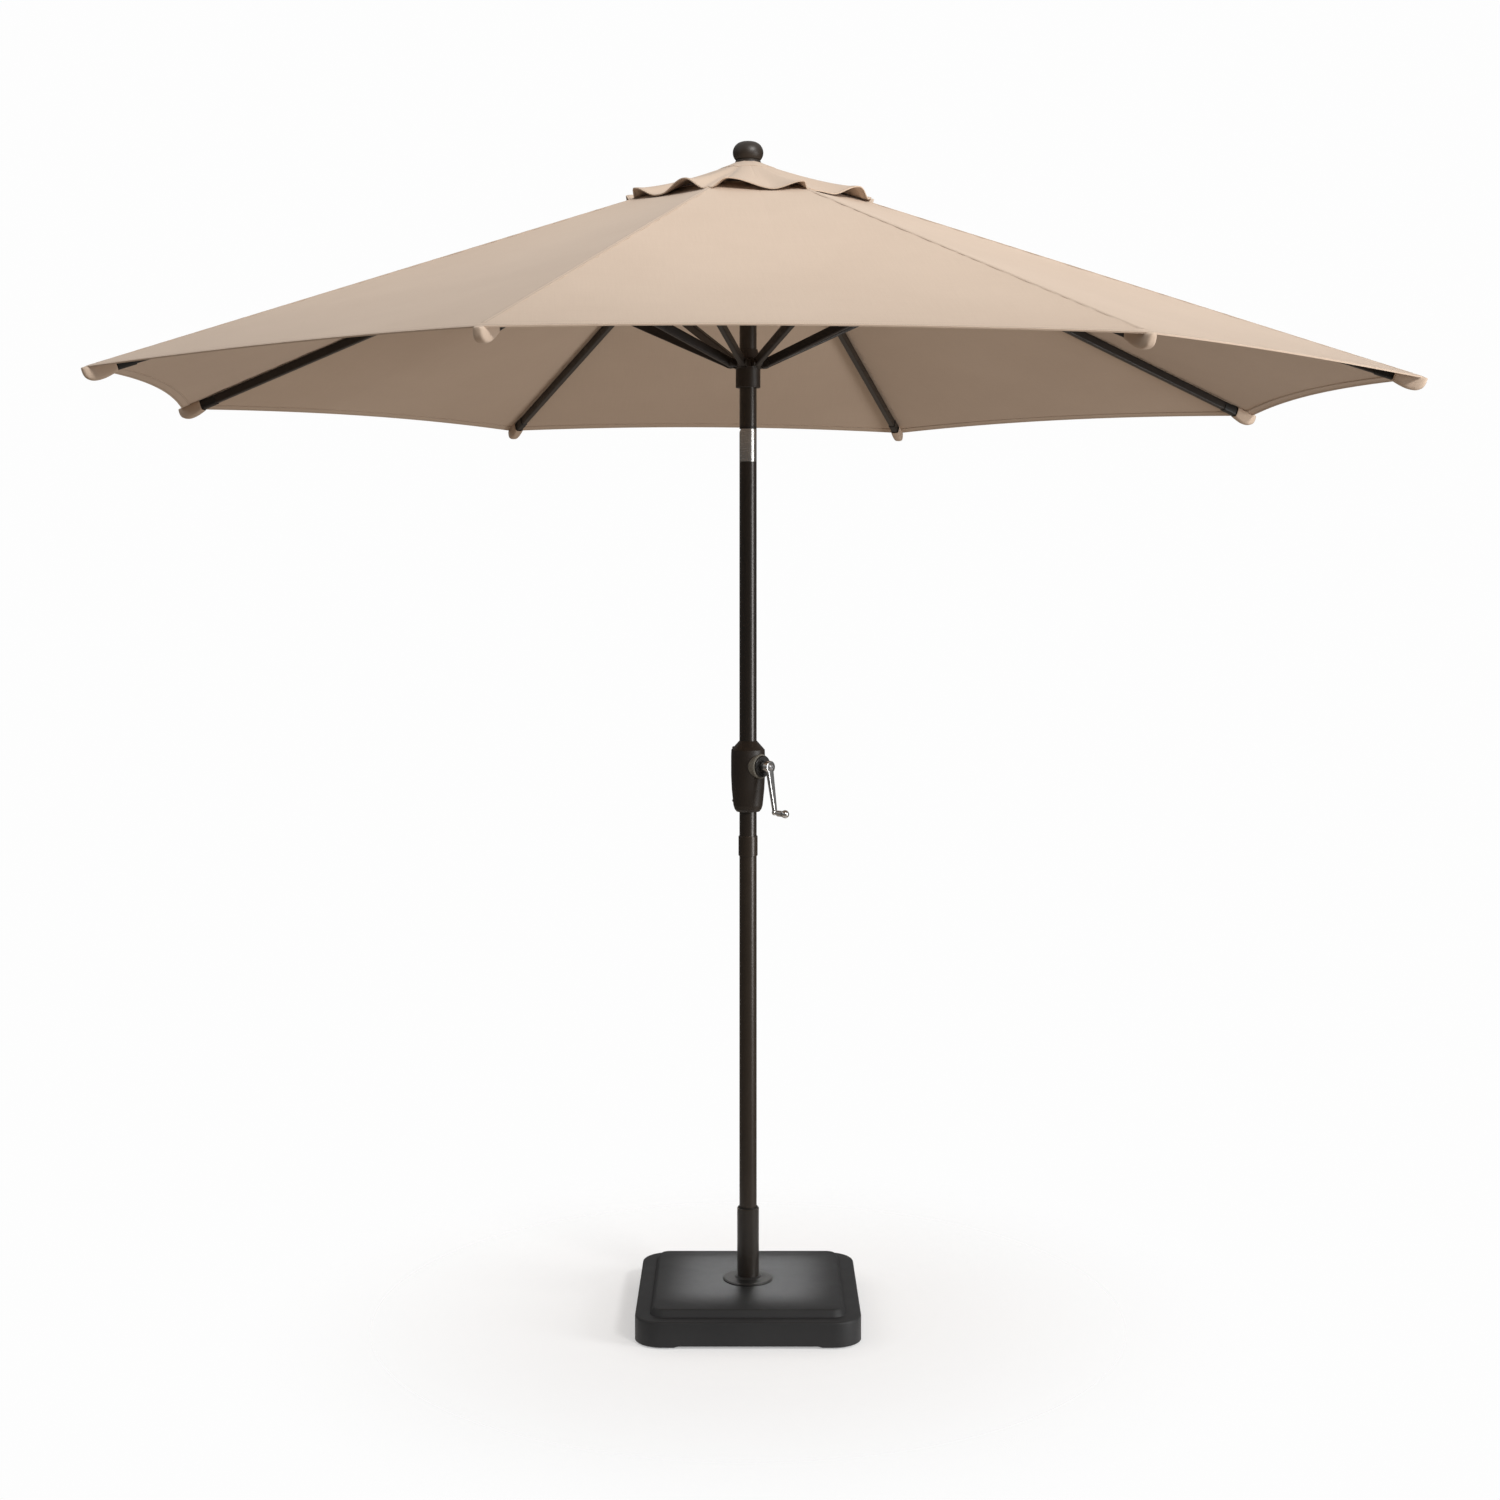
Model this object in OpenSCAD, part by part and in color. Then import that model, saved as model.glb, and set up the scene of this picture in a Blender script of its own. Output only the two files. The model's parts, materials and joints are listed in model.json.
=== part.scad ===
// Crank-and-tilt market umbrella with eight ribs, standing in a weighted square base.
// Millimetres, +Z up. The origin is at the middle of the underside of the base.

/* [Base] */
// Side of the square base
base_side = 455; // [420:5:520]
// Height of the vertical edge of the base
base_edge_h = 53; // [46:1:60]
// Height of the raised middle of the base
base_top_z = 67; // [62:1:74]
// Plan radius of the base's corners
base_corner_r = 58; // [40:2:80]
// Wall of the base's moulded shell
base_wall = 3.2; // [2.5:0.1:4]
// Radius of the round cover around the socket
flange_r = 51.5; // [48:0.5:58]
// Top of the socket tube
socket_top_z = 217; // [180:1:240]

/* [Pole] */
// Outside diameter of the poles
pole_d = 36; // [34:1:38]
// Wall of the poles
pole_wall = 1.5; // [1:0.1:2]
// Height of the joint between the lower and the main pole
joint_z = 971; // [900:1:1000]
// Underside of the aluminium tilt joint
tilt_low_z = 1773; // [1750:1:1780]
// Length of the aluminium tilt joint
tilt_len = 68; // [62:1:72]

/* [Crank] */
// Direction in which the crank points, counted from +X
crank_turn = -44; // [-60:1:-30]
// Height of the crank's axis
crank_z = 1139; // [1130:1:1150]
// Length of the crank's arm, axis to axis
crank_throw = 94; // [85:1:100]
// Widest radius of the crank housing
housing_r = 35.5; // [34:0.5:38]

/* [Frame of ribs] */
// Direction of the first rib, counted from +X
rib_turn = -107.5; // [-120:0.5:-95]
// Distance from the pole's axis to the cloth's tips
tip_r = 1350; // [1300:10:1400]
// Slope of the open ribs below the horizontal
rib_slope = 19.6; // [18:0.1:21]
// Height of the ribs' hinge pins in the top hub
hub_z = 2368; // [2350:1:2380]
// Height of the struts' hinges on the open runner
runner_z = 1978; // [1970:1:1990]
// Slope of the open struts
strut_slope = 24; // [22:0.5:26]
// Width and height of a rib's tube
rib_size = [14, 20]; // [10:1:24]
// Width and height of a strut's tube
strut_size = [12, 19]; // [10:1:22]

/* [Cloth] */
// Thickness of the cloth
cloth = 1; // [0.8:0.1:1.5]
// How far the rim curves in between two ribs
scallop = 30; // [20:1:40]
// How far the cloth sinks between two ribs
sink = 14; // [5:1:20]
// Rib radius of the open ring under the vent
vent_hole_r = 190; // [170:5:210]
// Rib radius of the vent's hem
vent_r = 272; // [255:1:285]

/* [Hidden] */
$fn = 64;

bronze = [0.16, 0.13, 0.11];
charcoal = [0.22, 0.22, 0.23];
metal = [0.75, 0.74, 0.72];
steel = [0.55, 0.55, 0.56];
rubber = [0.06, 0.06, 0.06];
bezel_grey = [0.58, 0.57, 0.52];
concrete = [0.6, 0.6, 0.58];
tan_cloth = [0.78, 0.69, 0.59];

pole_r = pole_d / 2;
pole_in = pole_r - pole_wall;
fit = 0.05;             // a turning or sliding fit, on the radius
slip = 0.35;            // a loose fit that never touches
foot_h = 3;
flange_h = 5;
socket_r = 22.7;
liner_r = 19.6;
socket_floor = 16;      // where the pole stands inside the base
knob_z = 172;
knob_turn = crank_turn + 134;
tilt_top_z = tilt_low_z + tilt_len;
tilt_axis_z = tilt_top_z - 13;
collar_h = 4.5;
button_z = tilt_low_z + 17;
button_r = 5.5;

// The folding frame. The strut hangs from a rivet below the rib's middle line.
pivot_r = 40;
pin_r = 2;
rivet_drop = 18;
rivet_along = (hub_z - runner_z - rivet_drop * (cos(rib_slope) - tan(strut_slope) * sin(rib_slope)))
    / (sin(rib_slope) + tan(strut_slope) * cos(rib_slope));
rivet_out = rivet_along * cos(rib_slope) - rivet_drop * sin(rib_slope);
rivet_z = hub_z - rivet_along * sin(rib_slope) - rivet_drop * cos(rib_slope);
strut_len = rivet_out / cos(strut_slope);
rib_len = (tip_r - pivot_r) / cos(rib_slope);
hub_slot = 9;
ear_gap = strut_size[0] + 0.8;
ear_t = 3;

// Turns a shape to lie along a level direction.
module facing(turn) { rotate([0, 0, turn]) children(); }

// A round bar along +X, from x = a to x = b.
module bar_x(r, a, b) { translate([a, 0, 0]) rotate([0, 90, 0]) cylinder(r = r, h = b - a); }

// A round bar along Y, centred.
module bar_y(r, len) { rotate([90, 0, 0]) cylinder(r = r, h = len, center = true); }

// A tube standing on the pole's axis.
module tube(r_out, r_in, low, high) {
    translate([0, 0, low]) difference() {
        cylinder(r = r_out, h = high - low);
        translate([0, 0, -1]) cylinder(r = r_in, h = high - low + 2);
    }
}

// A square with round corners, drawn flat.
module round_square(side, r) {
    square([side, side - 2 * r], center = true);
    square([side - 2 * r, side], center = true);
    for (x = [-1, 1], y = [-1, 1])
        translate([x * (side / 2 - r), y * (side / 2 - r)]) circle(r = r);
}

module slab(side, r, low, high) {
    translate([0, 0, low]) linear_extrude(height = high - low) round_square(side, r);
}

// A slab whose sides lean in from one square to the next.
module leaning_slab(side_a, r_a, z_a, side_b, r_b, z_b) {
    hull() {
        translate([0, 0, z_a]) linear_extrude(height = 0.01) round_square(side_a, r_a, $fn = 32);
        translate([0, 0, z_b - 0.01]) linear_extrude(height = 0.01) round_square(side_b, r_b, $fn = 32);
    }
}

// The outline of a rectangular tube with round edges.
module tube_outline(size, r) {
    square([size[0], size[1] - 2 * r], center = true);
    square([size[0] - 2 * r, size[1]], center = true);
    for (x = [-1, 1], y = [-1, 1])
        translate([x * (size[0] / 2 - r), y * (size[1] / 2 - r)]) circle(r = r, $fn = 24);
}

// A rectangular bar along +X, its size given as width and height.
module box_bar(size, r, a, b) {
    translate([a, 0, 0]) rotate([90, 0, 90]) linear_extrude(height = b - a) tube_outline(size, r);
}

/* ---- the base ---- */

ledge = 30;
bevel_w = 10;
plateau_side = base_side - 2 * (ledge + bevel_w);
cavity_r = base_corner_r - base_wall;

module base_outer() {
    slab(base_side, base_corner_r, foot_h, base_edge_h - 6);
    leaning_slab(base_side, base_corner_r, base_edge_h - 6,
        base_side - 7, base_corner_r - 3.5, base_edge_h - 1.5);
    leaning_slab(base_side - 7, base_corner_r - 3.5, base_edge_h - 1.5,
        base_side - 2 * ledge, 34, base_edge_h);
    leaning_slab(base_side - 2 * ledge, 34, base_edge_h, plateau_side, 26, base_top_z);
}

module base_shell() {
    color(charcoal) difference() {
        base_outer();
        slab(base_side - 2 * base_wall, cavity_r, foot_h - 1, base_edge_h - 6);
        slab(plateau_side - 8, 24, base_edge_h - 7, base_top_z - base_wall);
        // the low edge is raised between the corner feet
        for (a = [0, 90]) rotate([0, 0, a])
            translate([0, 0, foot_h]) cube([base_side - 4 * 40, base_side + 2, 5], center = true);
        translate([0, 0, base_edge_h]) cylinder(r = socket_r + fit, h = 40);
    }
}

module base_ballast() {
    color(concrete) difference() {
        union() {
            slab(base_side - 2 * base_wall - 1, cavity_r, foot_h + 6, base_edge_h - 6.5);
            slab(plateau_side - 9, 24, base_edge_h - 7, base_top_z - base_wall - 0.5);
        }
        translate([0, 0, foot_h]) cylinder(r = socket_r + fit, h = base_top_z);
    }
}

module base_bottom_plate() {
    color(charcoal) difference() {
        slab(base_side - 2 * base_wall - 1, cavity_r, foot_h + 2.8, foot_h + 5.8);
        for (x = [-1, 1], y = [-1, 1])
            translate([x * 165, y * 165, 0]) cylinder(r = 8 + fit, h = 20);
    }
}

module base_feet() {
    color(rubber) for (x = [-1, 1], y = [-1, 1]) translate([x * 165, y * 165, 0]) {
        cylinder(r = 26, h = foot_h + 2.6);
        cylinder(r = 8, h = foot_h + 5.8);
    }
}

module socket_flange() {
    top = base_top_z + flange_h;
    color(bronze) rotate_extrude() polygon([
        [socket_r + fit, base_top_z + 0.1], [flange_r, base_top_z + 0.1],
        [flange_r, base_top_z + 2.8], [flange_r - 2.2, top],
        [socket_r + 6, top + 1.2], [socket_r + 3, top + 4], [socket_r + fit, top + 4]]);
}

module socket_tube() {
    color(bronze) difference() {
        union() {
            tube(socket_r, liner_r + fit, socket_floor - 2, socket_top_z - 1.5);
            translate([0, 0, socket_top_z - 1.5]) cylinder(r1 = socket_r, r2 = socket_r - 1.5, h = 1.5);
            translate([0, 0, socket_floor - 4]) cylinder(r = socket_r, h = 3.9);
            translate([0, 0, knob_z]) facing(knob_turn) bar_x(8, 20.6, 29);
        }
        translate([0, 0, socket_floor]) cylinder(r = liner_r + fit, h = 300);
        translate([0, 0, knob_z]) facing(knob_turn) bar_x(4 + fit, 10, 40);
    }
}

module socket_liner() {
    lip = socket_top_z + 1.5;
    color(rubber) difference() {
        union() {
            tube(liner_r, pole_r + 0.08, socket_floor + 0.1, socket_top_z + 0.1);
            translate([0, 0, socket_top_z + 0.1]) cylinder(r = liner_r + 0.9, h = lip - socket_top_z);
        }
        translate([0, 0, socket_floor]) cylinder(r = pole_r + 0.08, h = 300);
        translate([0, 0, knob_z]) facing(knob_turn) bar_x(4 + slip, 10, 40);
    }
}

// The thumb screw that clamps the pole, with a lobed head.
module socket_knob() {
    color(rubber) translate([0, 0, knob_z]) facing(knob_turn) {
        bar_x(4, pole_r + 0.4, 33);
        bar_x(12, 30, 44);
        for (a = [0:60:300]) rotate([a, 0, 0]) translate([0, 11, 0]) bar_x(5, 30.5, 43.5);
        bar_x(7, 44, 46);
    }
}

/* ---- the poles ---- */

module lower_pole() { color(bronze) tube(pole_r, pole_in, socket_floor + 0.2, joint_z); }

module joint_sleeve() {
    color(steel) tube(pole_in - fit, pole_in - 2, joint_z - 80, joint_z + 60);
}

// The collar stands proud of the poles and covers their joint.
module joint_collar() {
    color(bronze) rotate_extrude() polygon([
        [pole_r + fit, joint_z - 20], [pole_r + 1.6, joint_z - 20], [pole_r + 2, joint_z - 19],
        [pole_r + 2, joint_z + 20], [pole_r + 1.4, joint_z + 21], [pole_r + fit, joint_z + 21]]);
}

module main_pole() {
    color(bronze) difference() {
        tube(pole_r, pole_in, joint_z + 0.1, tilt_low_z - 0.1);
        translate([0, 0, crank_z]) facing(crank_turn) bar_x(6 + fit, -30, 30);
    }
}

module upper_pole() { color(bronze) tube(pole_r, pole_in, tilt_top_z + collar_h + 0.3, hub_z - 13.2); }

/* ---- the crank ---- */

housing_top = 1190.5;
housing_low = 1043;
shell_t = 2.6;
recess_x = 24.5;        // the flat seat of the bezel

module housing_solid(inset) {
    rotate_extrude() polygon([
        [0, housing_low + inset], [pole_r + 6 - inset, housing_low + inset],
        [28 - inset, housing_low + 5 + inset], [30.6 - inset, housing_low + 13],
        [housing_r - 1.4 - inset, 1090], [housing_r - inset, 1119],
        [housing_r - inset, 1160], [housing_r - 0.6 - inset, 1172 - inset * 0.4],
        [pole_r + 0.5, housing_top - inset], [0, housing_top - inset]]);
}

module housing() {
    difference() {
        union() {
            difference() {
                housing_solid(0);
                housing_solid(shell_t);
            }
            // a floor behind the round recess, and bosses for the screws
            intersection() {
                housing_solid(0.2);
                translate([0, 0, crank_z]) facing(crank_turn) bar_x(29, recess_x - 3, recess_x);
            }
            for (z = [1066, 1176]) intersection() {
                housing_solid(0.2);
                translate([0, 0, z]) facing(crank_turn) for (y = [-1, 1])
                    translate([0, y * 23.5, 0]) bar_x(4.2, -40, 40);
            }
        }
        translate([0, 0, housing_low - 1]) cylinder(r = pole_r + fit, h = 200);
        translate([0, 0, crank_z]) facing(crank_turn) bar_x(25.6, recess_x, 60);
        translate([0, 0, crank_z]) facing(crank_turn) bar_x(6 + fit, 0, 60);
    }
}

module half_space(side) {
    facing(crank_turn) translate([side > 0 ? 0.05 : -100.05, -100, 1000]) cube([100, 200, 250]);
}

module crank_housing_front() { color(bronze) intersection() { housing(); half_space(1); } }

module crank_housing_back() {
    color(bronze) difference() {
        intersection() { housing(); half_space(-1); }
        housing_screw_bars(1.7, -60, 1);
        housing_screw_bars(3.4, -60, -18.4);
    }
}

module housing_screw_bars(r, a, b) {
    for (z = [1066, 1176], y = [-1, 1])
        translate([0, 0, z]) facing(crank_turn) translate([0, y * 23.5, 0]) bar_x(r, a, b);
}

module housing_screws() {
    color(steel) {
        housing_screw_bars(1.6, -18.6, -1);
        housing_screw_bars(3.2, -20.4, -18.5);
    }
}

module on_crank_axis() { translate([0, 0, crank_z]) facing(crank_turn) children(); }

// Revolves an outline about the crank's axis: points are distance out, then radius.
module turned_x(points) {
    rotate([0, 90, 0]) rotate_extrude() polygon([for (p = points) [p[1], p[0]]]);
}

bezel_out = 40.5;
collar_out = 45;
hub_out = 66;

module crank_bezel() {
    color(bezel_grey) on_crank_axis() turned_x([
        [recess_x + 0.1, 6 + fit], [recess_x + 0.1, 25.4], [bezel_out - 3, 25.4],
        [bezel_out - 0.8, 24.5], [bezel_out, 23.4], [bezel_out, 6 + fit]]);
}

module crank_collar() {
    color(rubber) on_crank_axis() turned_x([
        [bezel_out + 0.1, 6 + fit], [bezel_out + 0.1, 22.6], [collar_out - 1.8, 22.6],
        [collar_out - 0.4, 20.9], [collar_out - 0.4, 6 + fit]]);
}

module crank_bush() {
    color("darkgoldenrod") on_crank_axis() {
        turned_x([[13.5, 4 + fit], [13.5, 6], [collar_out - 1, 6], [collar_out - 1, 4 + fit]]);
        turned_x([[-20, 4 + fit], [-20, 6], [-13.5, 6], [-13.5, 4 + fit]]);
    }
}

drum_r = 12.2;

// The drum winds the lift cord inside the pole. Its shaft reaches out into the crank.
module cord_drum() {
    color(steel) on_crank_axis() {
        bar_x(4, -20, hub_out - 6);
        bar_x(drum_r - 1.5, -7.5, 7.5);
        for (x = [-8, 6.5]) bar_x(14, x, x + 1.5);
    }
}

arm_lean = 10;
arm_t = 8;

module crank_arm() {
    color(metal) on_crank_axis() difference() {
        union() {
            turned_x([[collar_out + 0.3, 4 + fit / 2], [collar_out + 0.3, 11.9],
                [collar_out + 5, 12.5], [hub_out - 4, 13.2], [hub_out - 1, 13],
                [hub_out, 12], [hub_out, 4 + fit / 2]]);
            translate([hub_out - arm_t - 1, 0, 0]) rotate([0, -arm_lean, 0]) arm_plate();
            translate([grip_low - 4, 0, -crank_throw]) bar_x(5.2, 0, 4);
        }
        bar_x(4 + fit / 2, 30, 62);
        translate([0, 0, -crank_throw]) bar_x(2.5 + fit, 50, grip_low + 8);
    }
}

// A flat bar that narrows towards the grip.
module arm_plate() {
    difference() {
        rotate([0, 90, 0]) linear_extrude(height = arm_t) {
            polygon([[0, -9.5], [0, 9.5], [crank_throw, 5], [crank_throw, -5]]);
            translate([crank_throw, 0]) circle(r = 5.4);
        }
        bar_x(4.5, -10, 30);
    }
}

grip_low = hub_out + crank_throw * sin(arm_lean) + 1.5;

module crank_screw() {
    color(steel) on_crank_axis() {
        bar_x(2.4, hub_out - 6 + 0.1, hub_out + 0.2);
        difference() {
            turned_x([[hub_out + 0.1, 0], [hub_out + 0.1, 6.6], [hub_out + 1.6, 6.2], [hub_out + 2.6, 4.4],
                [hub_out + 2.6, 0]]);
            for (a = [0, 90]) rotate([a, 0, 0])
                translate([hub_out + 2.4, 0, 0]) cube([2, 6, 1.4], center = true);
        }
    }
}

// The grip turns on its own spindle at the end of the arm.
module crank_grip() {
    color(metal) on_crank_axis() translate([0, 0, -crank_throw]) {
        turned_x([[grip_low - 9, 0], [grip_low - 9, 2.5], [grip_low + 0.4, 2.5], [grip_low + 0.4, 5.4],
            [grip_low + 2, 6.2], [grip_low + 14, 6.2], [grip_low + 17, 7], [grip_low + 19, 7.6],
            [grip_low + 19, 0]]);
        translate([grip_low + 22, 0, 0]) sphere(r = 8.4);
    }
}

/* ---- the tilt joint ---- */

tilt_turn = crank_turn + 180;       // the side that the canopy leans to
slot_w = 13;

module at_tilt_axis() { translate([0, 0, tilt_axis_z]) facing(tilt_turn) children(); }

module tilt_joint() {
    color(metal) difference() {
        union() {
            translate([0, 0, tilt_low_z]) cylinder(r = pole_r, h = tilt_len);
            translate([0, 0, tilt_low_z - 40]) cylinder(r = pole_in - fit, h = 41);
        }
        // the pocket of the tilt head, open on the side it leans to
        at_tilt_axis() {
            translate([-12, -slot_w / 2, 0]) cube([40, slot_w, 20]);
            intersection() {
                bar_y(12, slot_w);
                translate([0, 0, -10]) cube([40, 40, 20], center = true);
            }
            translate([0, -slot_w / 2, -10.2]) cube([30, slot_w, 12]);
            bar_y(3 + fit, 29);
            // room for the tilted collar
            rotate([0, 35.6, 0]) translate([-40, -30, 12]) cube([80, 60, 30]);
        }
        translate([0, 0, tilt_low_z - 50]) cylinder(r = 7, h = 72);
        translate([0, 0, button_z]) facing(crank_turn + 90) bar_x(button_r + fit, 8, 30);
    }
}

module tilt_pin() { color(steel) at_tilt_axis() bar_y(3, 28.6); }

module tilt_head() {
    color(rubber) difference() {
        union() {
            at_tilt_axis() {
                bar_y(11, slot_w - 0.6);
                translate([-9.5, -(slot_w - 0.6) / 2, 0]) cube([19, slot_w - 0.6, 14.2]);
            }
            translate([0, 0, tilt_top_z + 0.3]) cylinder(r = pole_r - 0.1, h = collar_h - 0.2);
            translate([0, 0, tilt_top_z + collar_h]) cylinder(r = pole_in - fit, h = 45);
        }
        at_tilt_axis() bar_y(3 + fit, 40);
        translate([0, 0, tilt_top_z + 8]) cylinder(r = 6, h = 60);
    }
}

module tilt_button() {
    color(rubber) translate([0, 0, button_z]) facing(crank_turn + 90) {
        bar_x(button_r, 14, pole_r + 2.2);
        turned_x([[pole_r + 2.1, 0], [pole_r + 2.1, button_r], [pole_r + 3.2, button_r - 1.2],
            [pole_r + 3.4, 0]]);
    }
}

// A coil spring drawn as a stack of rings on a thin core, pushing the button out.
module button_spring() {
    color(steel) translate([0, 0, button_z]) facing(crank_turn + 90)
        for (x = [9:1.15:13]) translate([x, 0, 0]) rotate([0, 90, 0])
            rotate_extrude() translate([4, 0]) circle(r = 0.5, $fn = 16);
}

/* ---- the top ---- */

module top_hub() {
    color(bronze) difference() {
        union() {
            rotate_extrude() polygon([
                [0, hub_z - 13], [44, hub_z - 13], [50, hub_z - 9], [50, hub_z + 6],
                [47, hub_z + 9], [34, hub_z + 11], [26, hub_z + 15],
                [14, hub_z + 15], [14, vent_apex - 5.6], [0, vent_apex - 5.6]]);
            translate([0, 0, hub_z - 53]) cylinder(r = pole_in - fit, h = 42);
        }
        for (k = [0:7]) facing(rib_turn + 45 * k) {
            translate([32, -hub_slot / 2, hub_z - 20]) cube([30, hub_slot, 50]);
            translate([pivot_r, 0, hub_z]) bar_y(pin_r + fit, 20);
        }
        translate([0, 0, hub_z - 8]) cylinder(r = 5 + fit, h = 60);
        // the slot of the pulley
        facing(tilt_turn) {
            translate([-12, -3.2, hub_z - 60]) cube([24, 6.4, 45]);
            translate([0, 0, pulley_z]) bar_y(2 + fit, 30);
        }
    }
}

module hub_pins() {
    color(steel) for (k = [0:7]) facing(rib_turn + 45 * k)
        translate([pivot_r, 0, hub_z]) bar_y(pin_r, 19.6);
}

pulley_z = hub_z - 38;
pulley_r = 9;

module pulley() {
    color(steel) facing(tilt_turn) translate([0, 0, pulley_z]) rotate([90, 0, 0])
        rotate_extrude() polygon([
            [2 + fit, -2.6], [pulley_r + 1.4, -2.6], [pulley_r, 0], [pulley_r + 1.4, 2.6], [2 + fit, 2.6]]);
}

module pulley_axle() {
    color(steel) facing(tilt_turn) translate([0, 0, pulley_z]) bar_y(2, 29);
}

vent_apex = hub_z + 28;
ball_z = 2418;

// A cone of stiff sheet that carries the top of the cloth.
module crown_washer() {
    color(rubber) rotate_extrude() polygon([
        [5 + fit, vent_apex - 5.5], [24, vent_apex - 5.5], [57, vent_apex - 17],
        [57, vent_apex - 15.4], [24, vent_apex - 3.8], [5 + fit, vent_apex - 3.8]]);
}

module finial() {
    color(bronze) {
        rotate_extrude() {
            intersection() {
                translate([9, ball_z]) circle(r = 23);
                translate([0, ball_z - 15]) square([60, 50]);
            }
            translate([0, ball_z - 15]) square([9.1, 38]);
            polygon([[0, vent_apex + 0.4], [27, vent_apex + 0.4], [27, vent_apex + 2.6],
                [24.6, ball_z - 14.9], [0, ball_z - 14.9]]);
        }
        translate([0, 0, hub_z - 7.5]) cylinder(r = 5, h = vent_apex - hub_z + 8.5);
    }
}

/* ---- the runner ---- */

module runner() {
    color(bronze) difference() {
        union() {
            rotate_extrude() polygon([
                [pole_r + slip, runner_z - 51], [24.8, runner_z - 51], [25.8, runner_z - 50],
                [25.8, runner_z - 12], [32, runner_z - 9], [32, runner_z + 6],
                [24.5, runner_z + 10], [21.5, runner_z + 22], [20, runner_z + 29],
                [pole_r + slip, runner_z + 29]]);
            for (k = [0:7], s = [-1, 1]) facing(rib_turn + 45 * k)
                translate([0, s * (ear_gap + ear_t) / 2, runner_z]) {
                    translate([23, -ear_t / 2, -8.5]) cube([pivot_r - 23, ear_t, 15.5]);
                    translate([pivot_r, 0, -1]) bar_y(7.5, ear_t);
                    translate([pivot_r, s * ear_t / 2, 0]) bar_y(2.6, 2);
                }
        }
        for (k = [0:7]) facing(rib_turn + 45 * k)
            translate([28.2, -ear_gap / 2, runner_z - 30]) cube([40, ear_gap, 60]);
        // a groove down the bore lets it pass the tilt button
        facing(crank_turn + 90) translate([0, -6.1, runner_z - 60]) cube([22, 12.2, 100]);
    }
}

/* ---- ribs and struts ---- */

module in_rib(k) {
    facing(rib_turn + 45 * (k - 1)) translate([pivot_r, 0, hub_z]) rotate([0, rib_slope, 0]) children();
}

module rib(k) {
    wall = 0.8;
    start = 19;
    color(bronze) in_rib(k) difference() {
        union() {
            box_bar(rib_size, 3, start, rib_len - 12);
            box_bar(rib_size - [1.5, 1.5], 3, rib_len - 12, rib_len - 6);
            bar_y(6, hub_slot - 1);
            translate([0, -(hub_slot - 1) / 2, -6]) cube([start + 1, hub_slot - 1, 12]);
            rib_bracket();
        }
        box_bar(rib_size - [2 * wall, 2 * wall], 2.2, start + 26, rib_len - 20);
        bar_y(pin_r + 0.1, 30);
    }
}

// Two ears below the rib with the strut's rivet between them.
module rib_bracket() {
    drop = rivet_drop;
    translate([rivet_along, 0, -drop]) {
        for (s = [-1, 1]) translate([0, s * (ear_gap + 2) / 2, 0]) {
            bar_y(7, 2);
            translate([-7, -1, 0]) cube([14, 2, drop - 4]);
        }
        bar_y(2.5, ear_gap + 6);
    }
}

// The strut hangs from the rivet. Its own +X points down towards the runner.
module strut(k) {
    wall = 0.8;
    color(bronze) facing(rib_turn + 45 * (k - 1)) translate([pivot_r + rivet_out, 0, rivet_z])
        rotate([0, 180 - strut_slope, 0]) difference() {
            union() {
                box_bar(strut_size, 3, 22, strut_len);
                translate([strut_len, 0, 0]) bar_y(strut_size[1] / 2, strut_size[0]);
                box_bar([strut_size[0], 14], 2, 0, 23);
                bar_y(7, strut_size[0]);
            }
            box_bar(strut_size - [2 * wall, 2 * wall], 2.2, 26, strut_len - 14);
            bar_y(2.6, 30);
            translate([strut_len, 0, 0]) bar_y(2.6, 30);
        }
}

/* ---- the cloth ---- */

rows = 7;
side_cols = 4;
cols = 2 * side_cols;

// Height of the underside of the cloth above a rib, at a rib radius.
function seam_z(rho) = hub_z - tan(rib_slope) * (rho - pivot_r) + (rib_size[1] / 2 + 1.6) / cos(rib_slope);

// 0 over a rib, 1 half way to the next one, level there.
function bay(w) = 1 - pow(1 - abs(w), 2);

// A point of the cloth in the rib's own direction: t runs down the rib, w across the bay.
function cloth_point(t, w, lift) = let(
    rho = vent_hole_r + (tip_r - scallop * bay(w) - vent_hole_r) * t)
    [rho * (1 - (1 - cos(45)) / 2 * abs(w)), rho * sin(45) / 2 * w,
        seam_z(rho) - sink * sin(180 * t) * bay(w) + lift];

// The faces of a closed sheet made of two grids of n by m points, upper grid first.
function grid_faces(n, m) = let(a = n * m) concat(
    [for (i = [0:n - 2], j = [0:m - 2]) each let(p = i * m + j)
        [[p, p + m + 1, p + m], [p, p + 1, p + m + 1],
         [a + p, a + p + m, a + p + m + 1], [a + p, a + p + m + 1, a + p + 1]]],
    [for (i = [0:n - 2]) each let(p = i * m, q = p + m - 1)
        [[p, p + m, a + p + m], [p, a + p + m, a + p],
         [q, a + q + m, q + m], [q, a + q, a + q + m]]],
    [for (j = [0:m - 2]) each let(p = j, q = (n - 1) * m + j)
        [[p, a + p + 1, p + 1], [p, a + p, a + p + 1],
         [q, q + 1, a + q + 1], [q, a + q + 1, a + q]]]);

module canopy_sector(k) {
    color(tan_cloth) facing(rib_turn + 45 * (k - 1)) polyhedron(
        points = [for (side = [cloth, 0], i = [0:rows], j = [-side_cols:side_cols])
            cloth_point(i / rows, 0.998 * j / side_cols, side)],
        faces = grid_faces(rows + 1, cols + 1));
}

vent_rows = 3;
vent_cols = 32;
vent_puff = 16;

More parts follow.
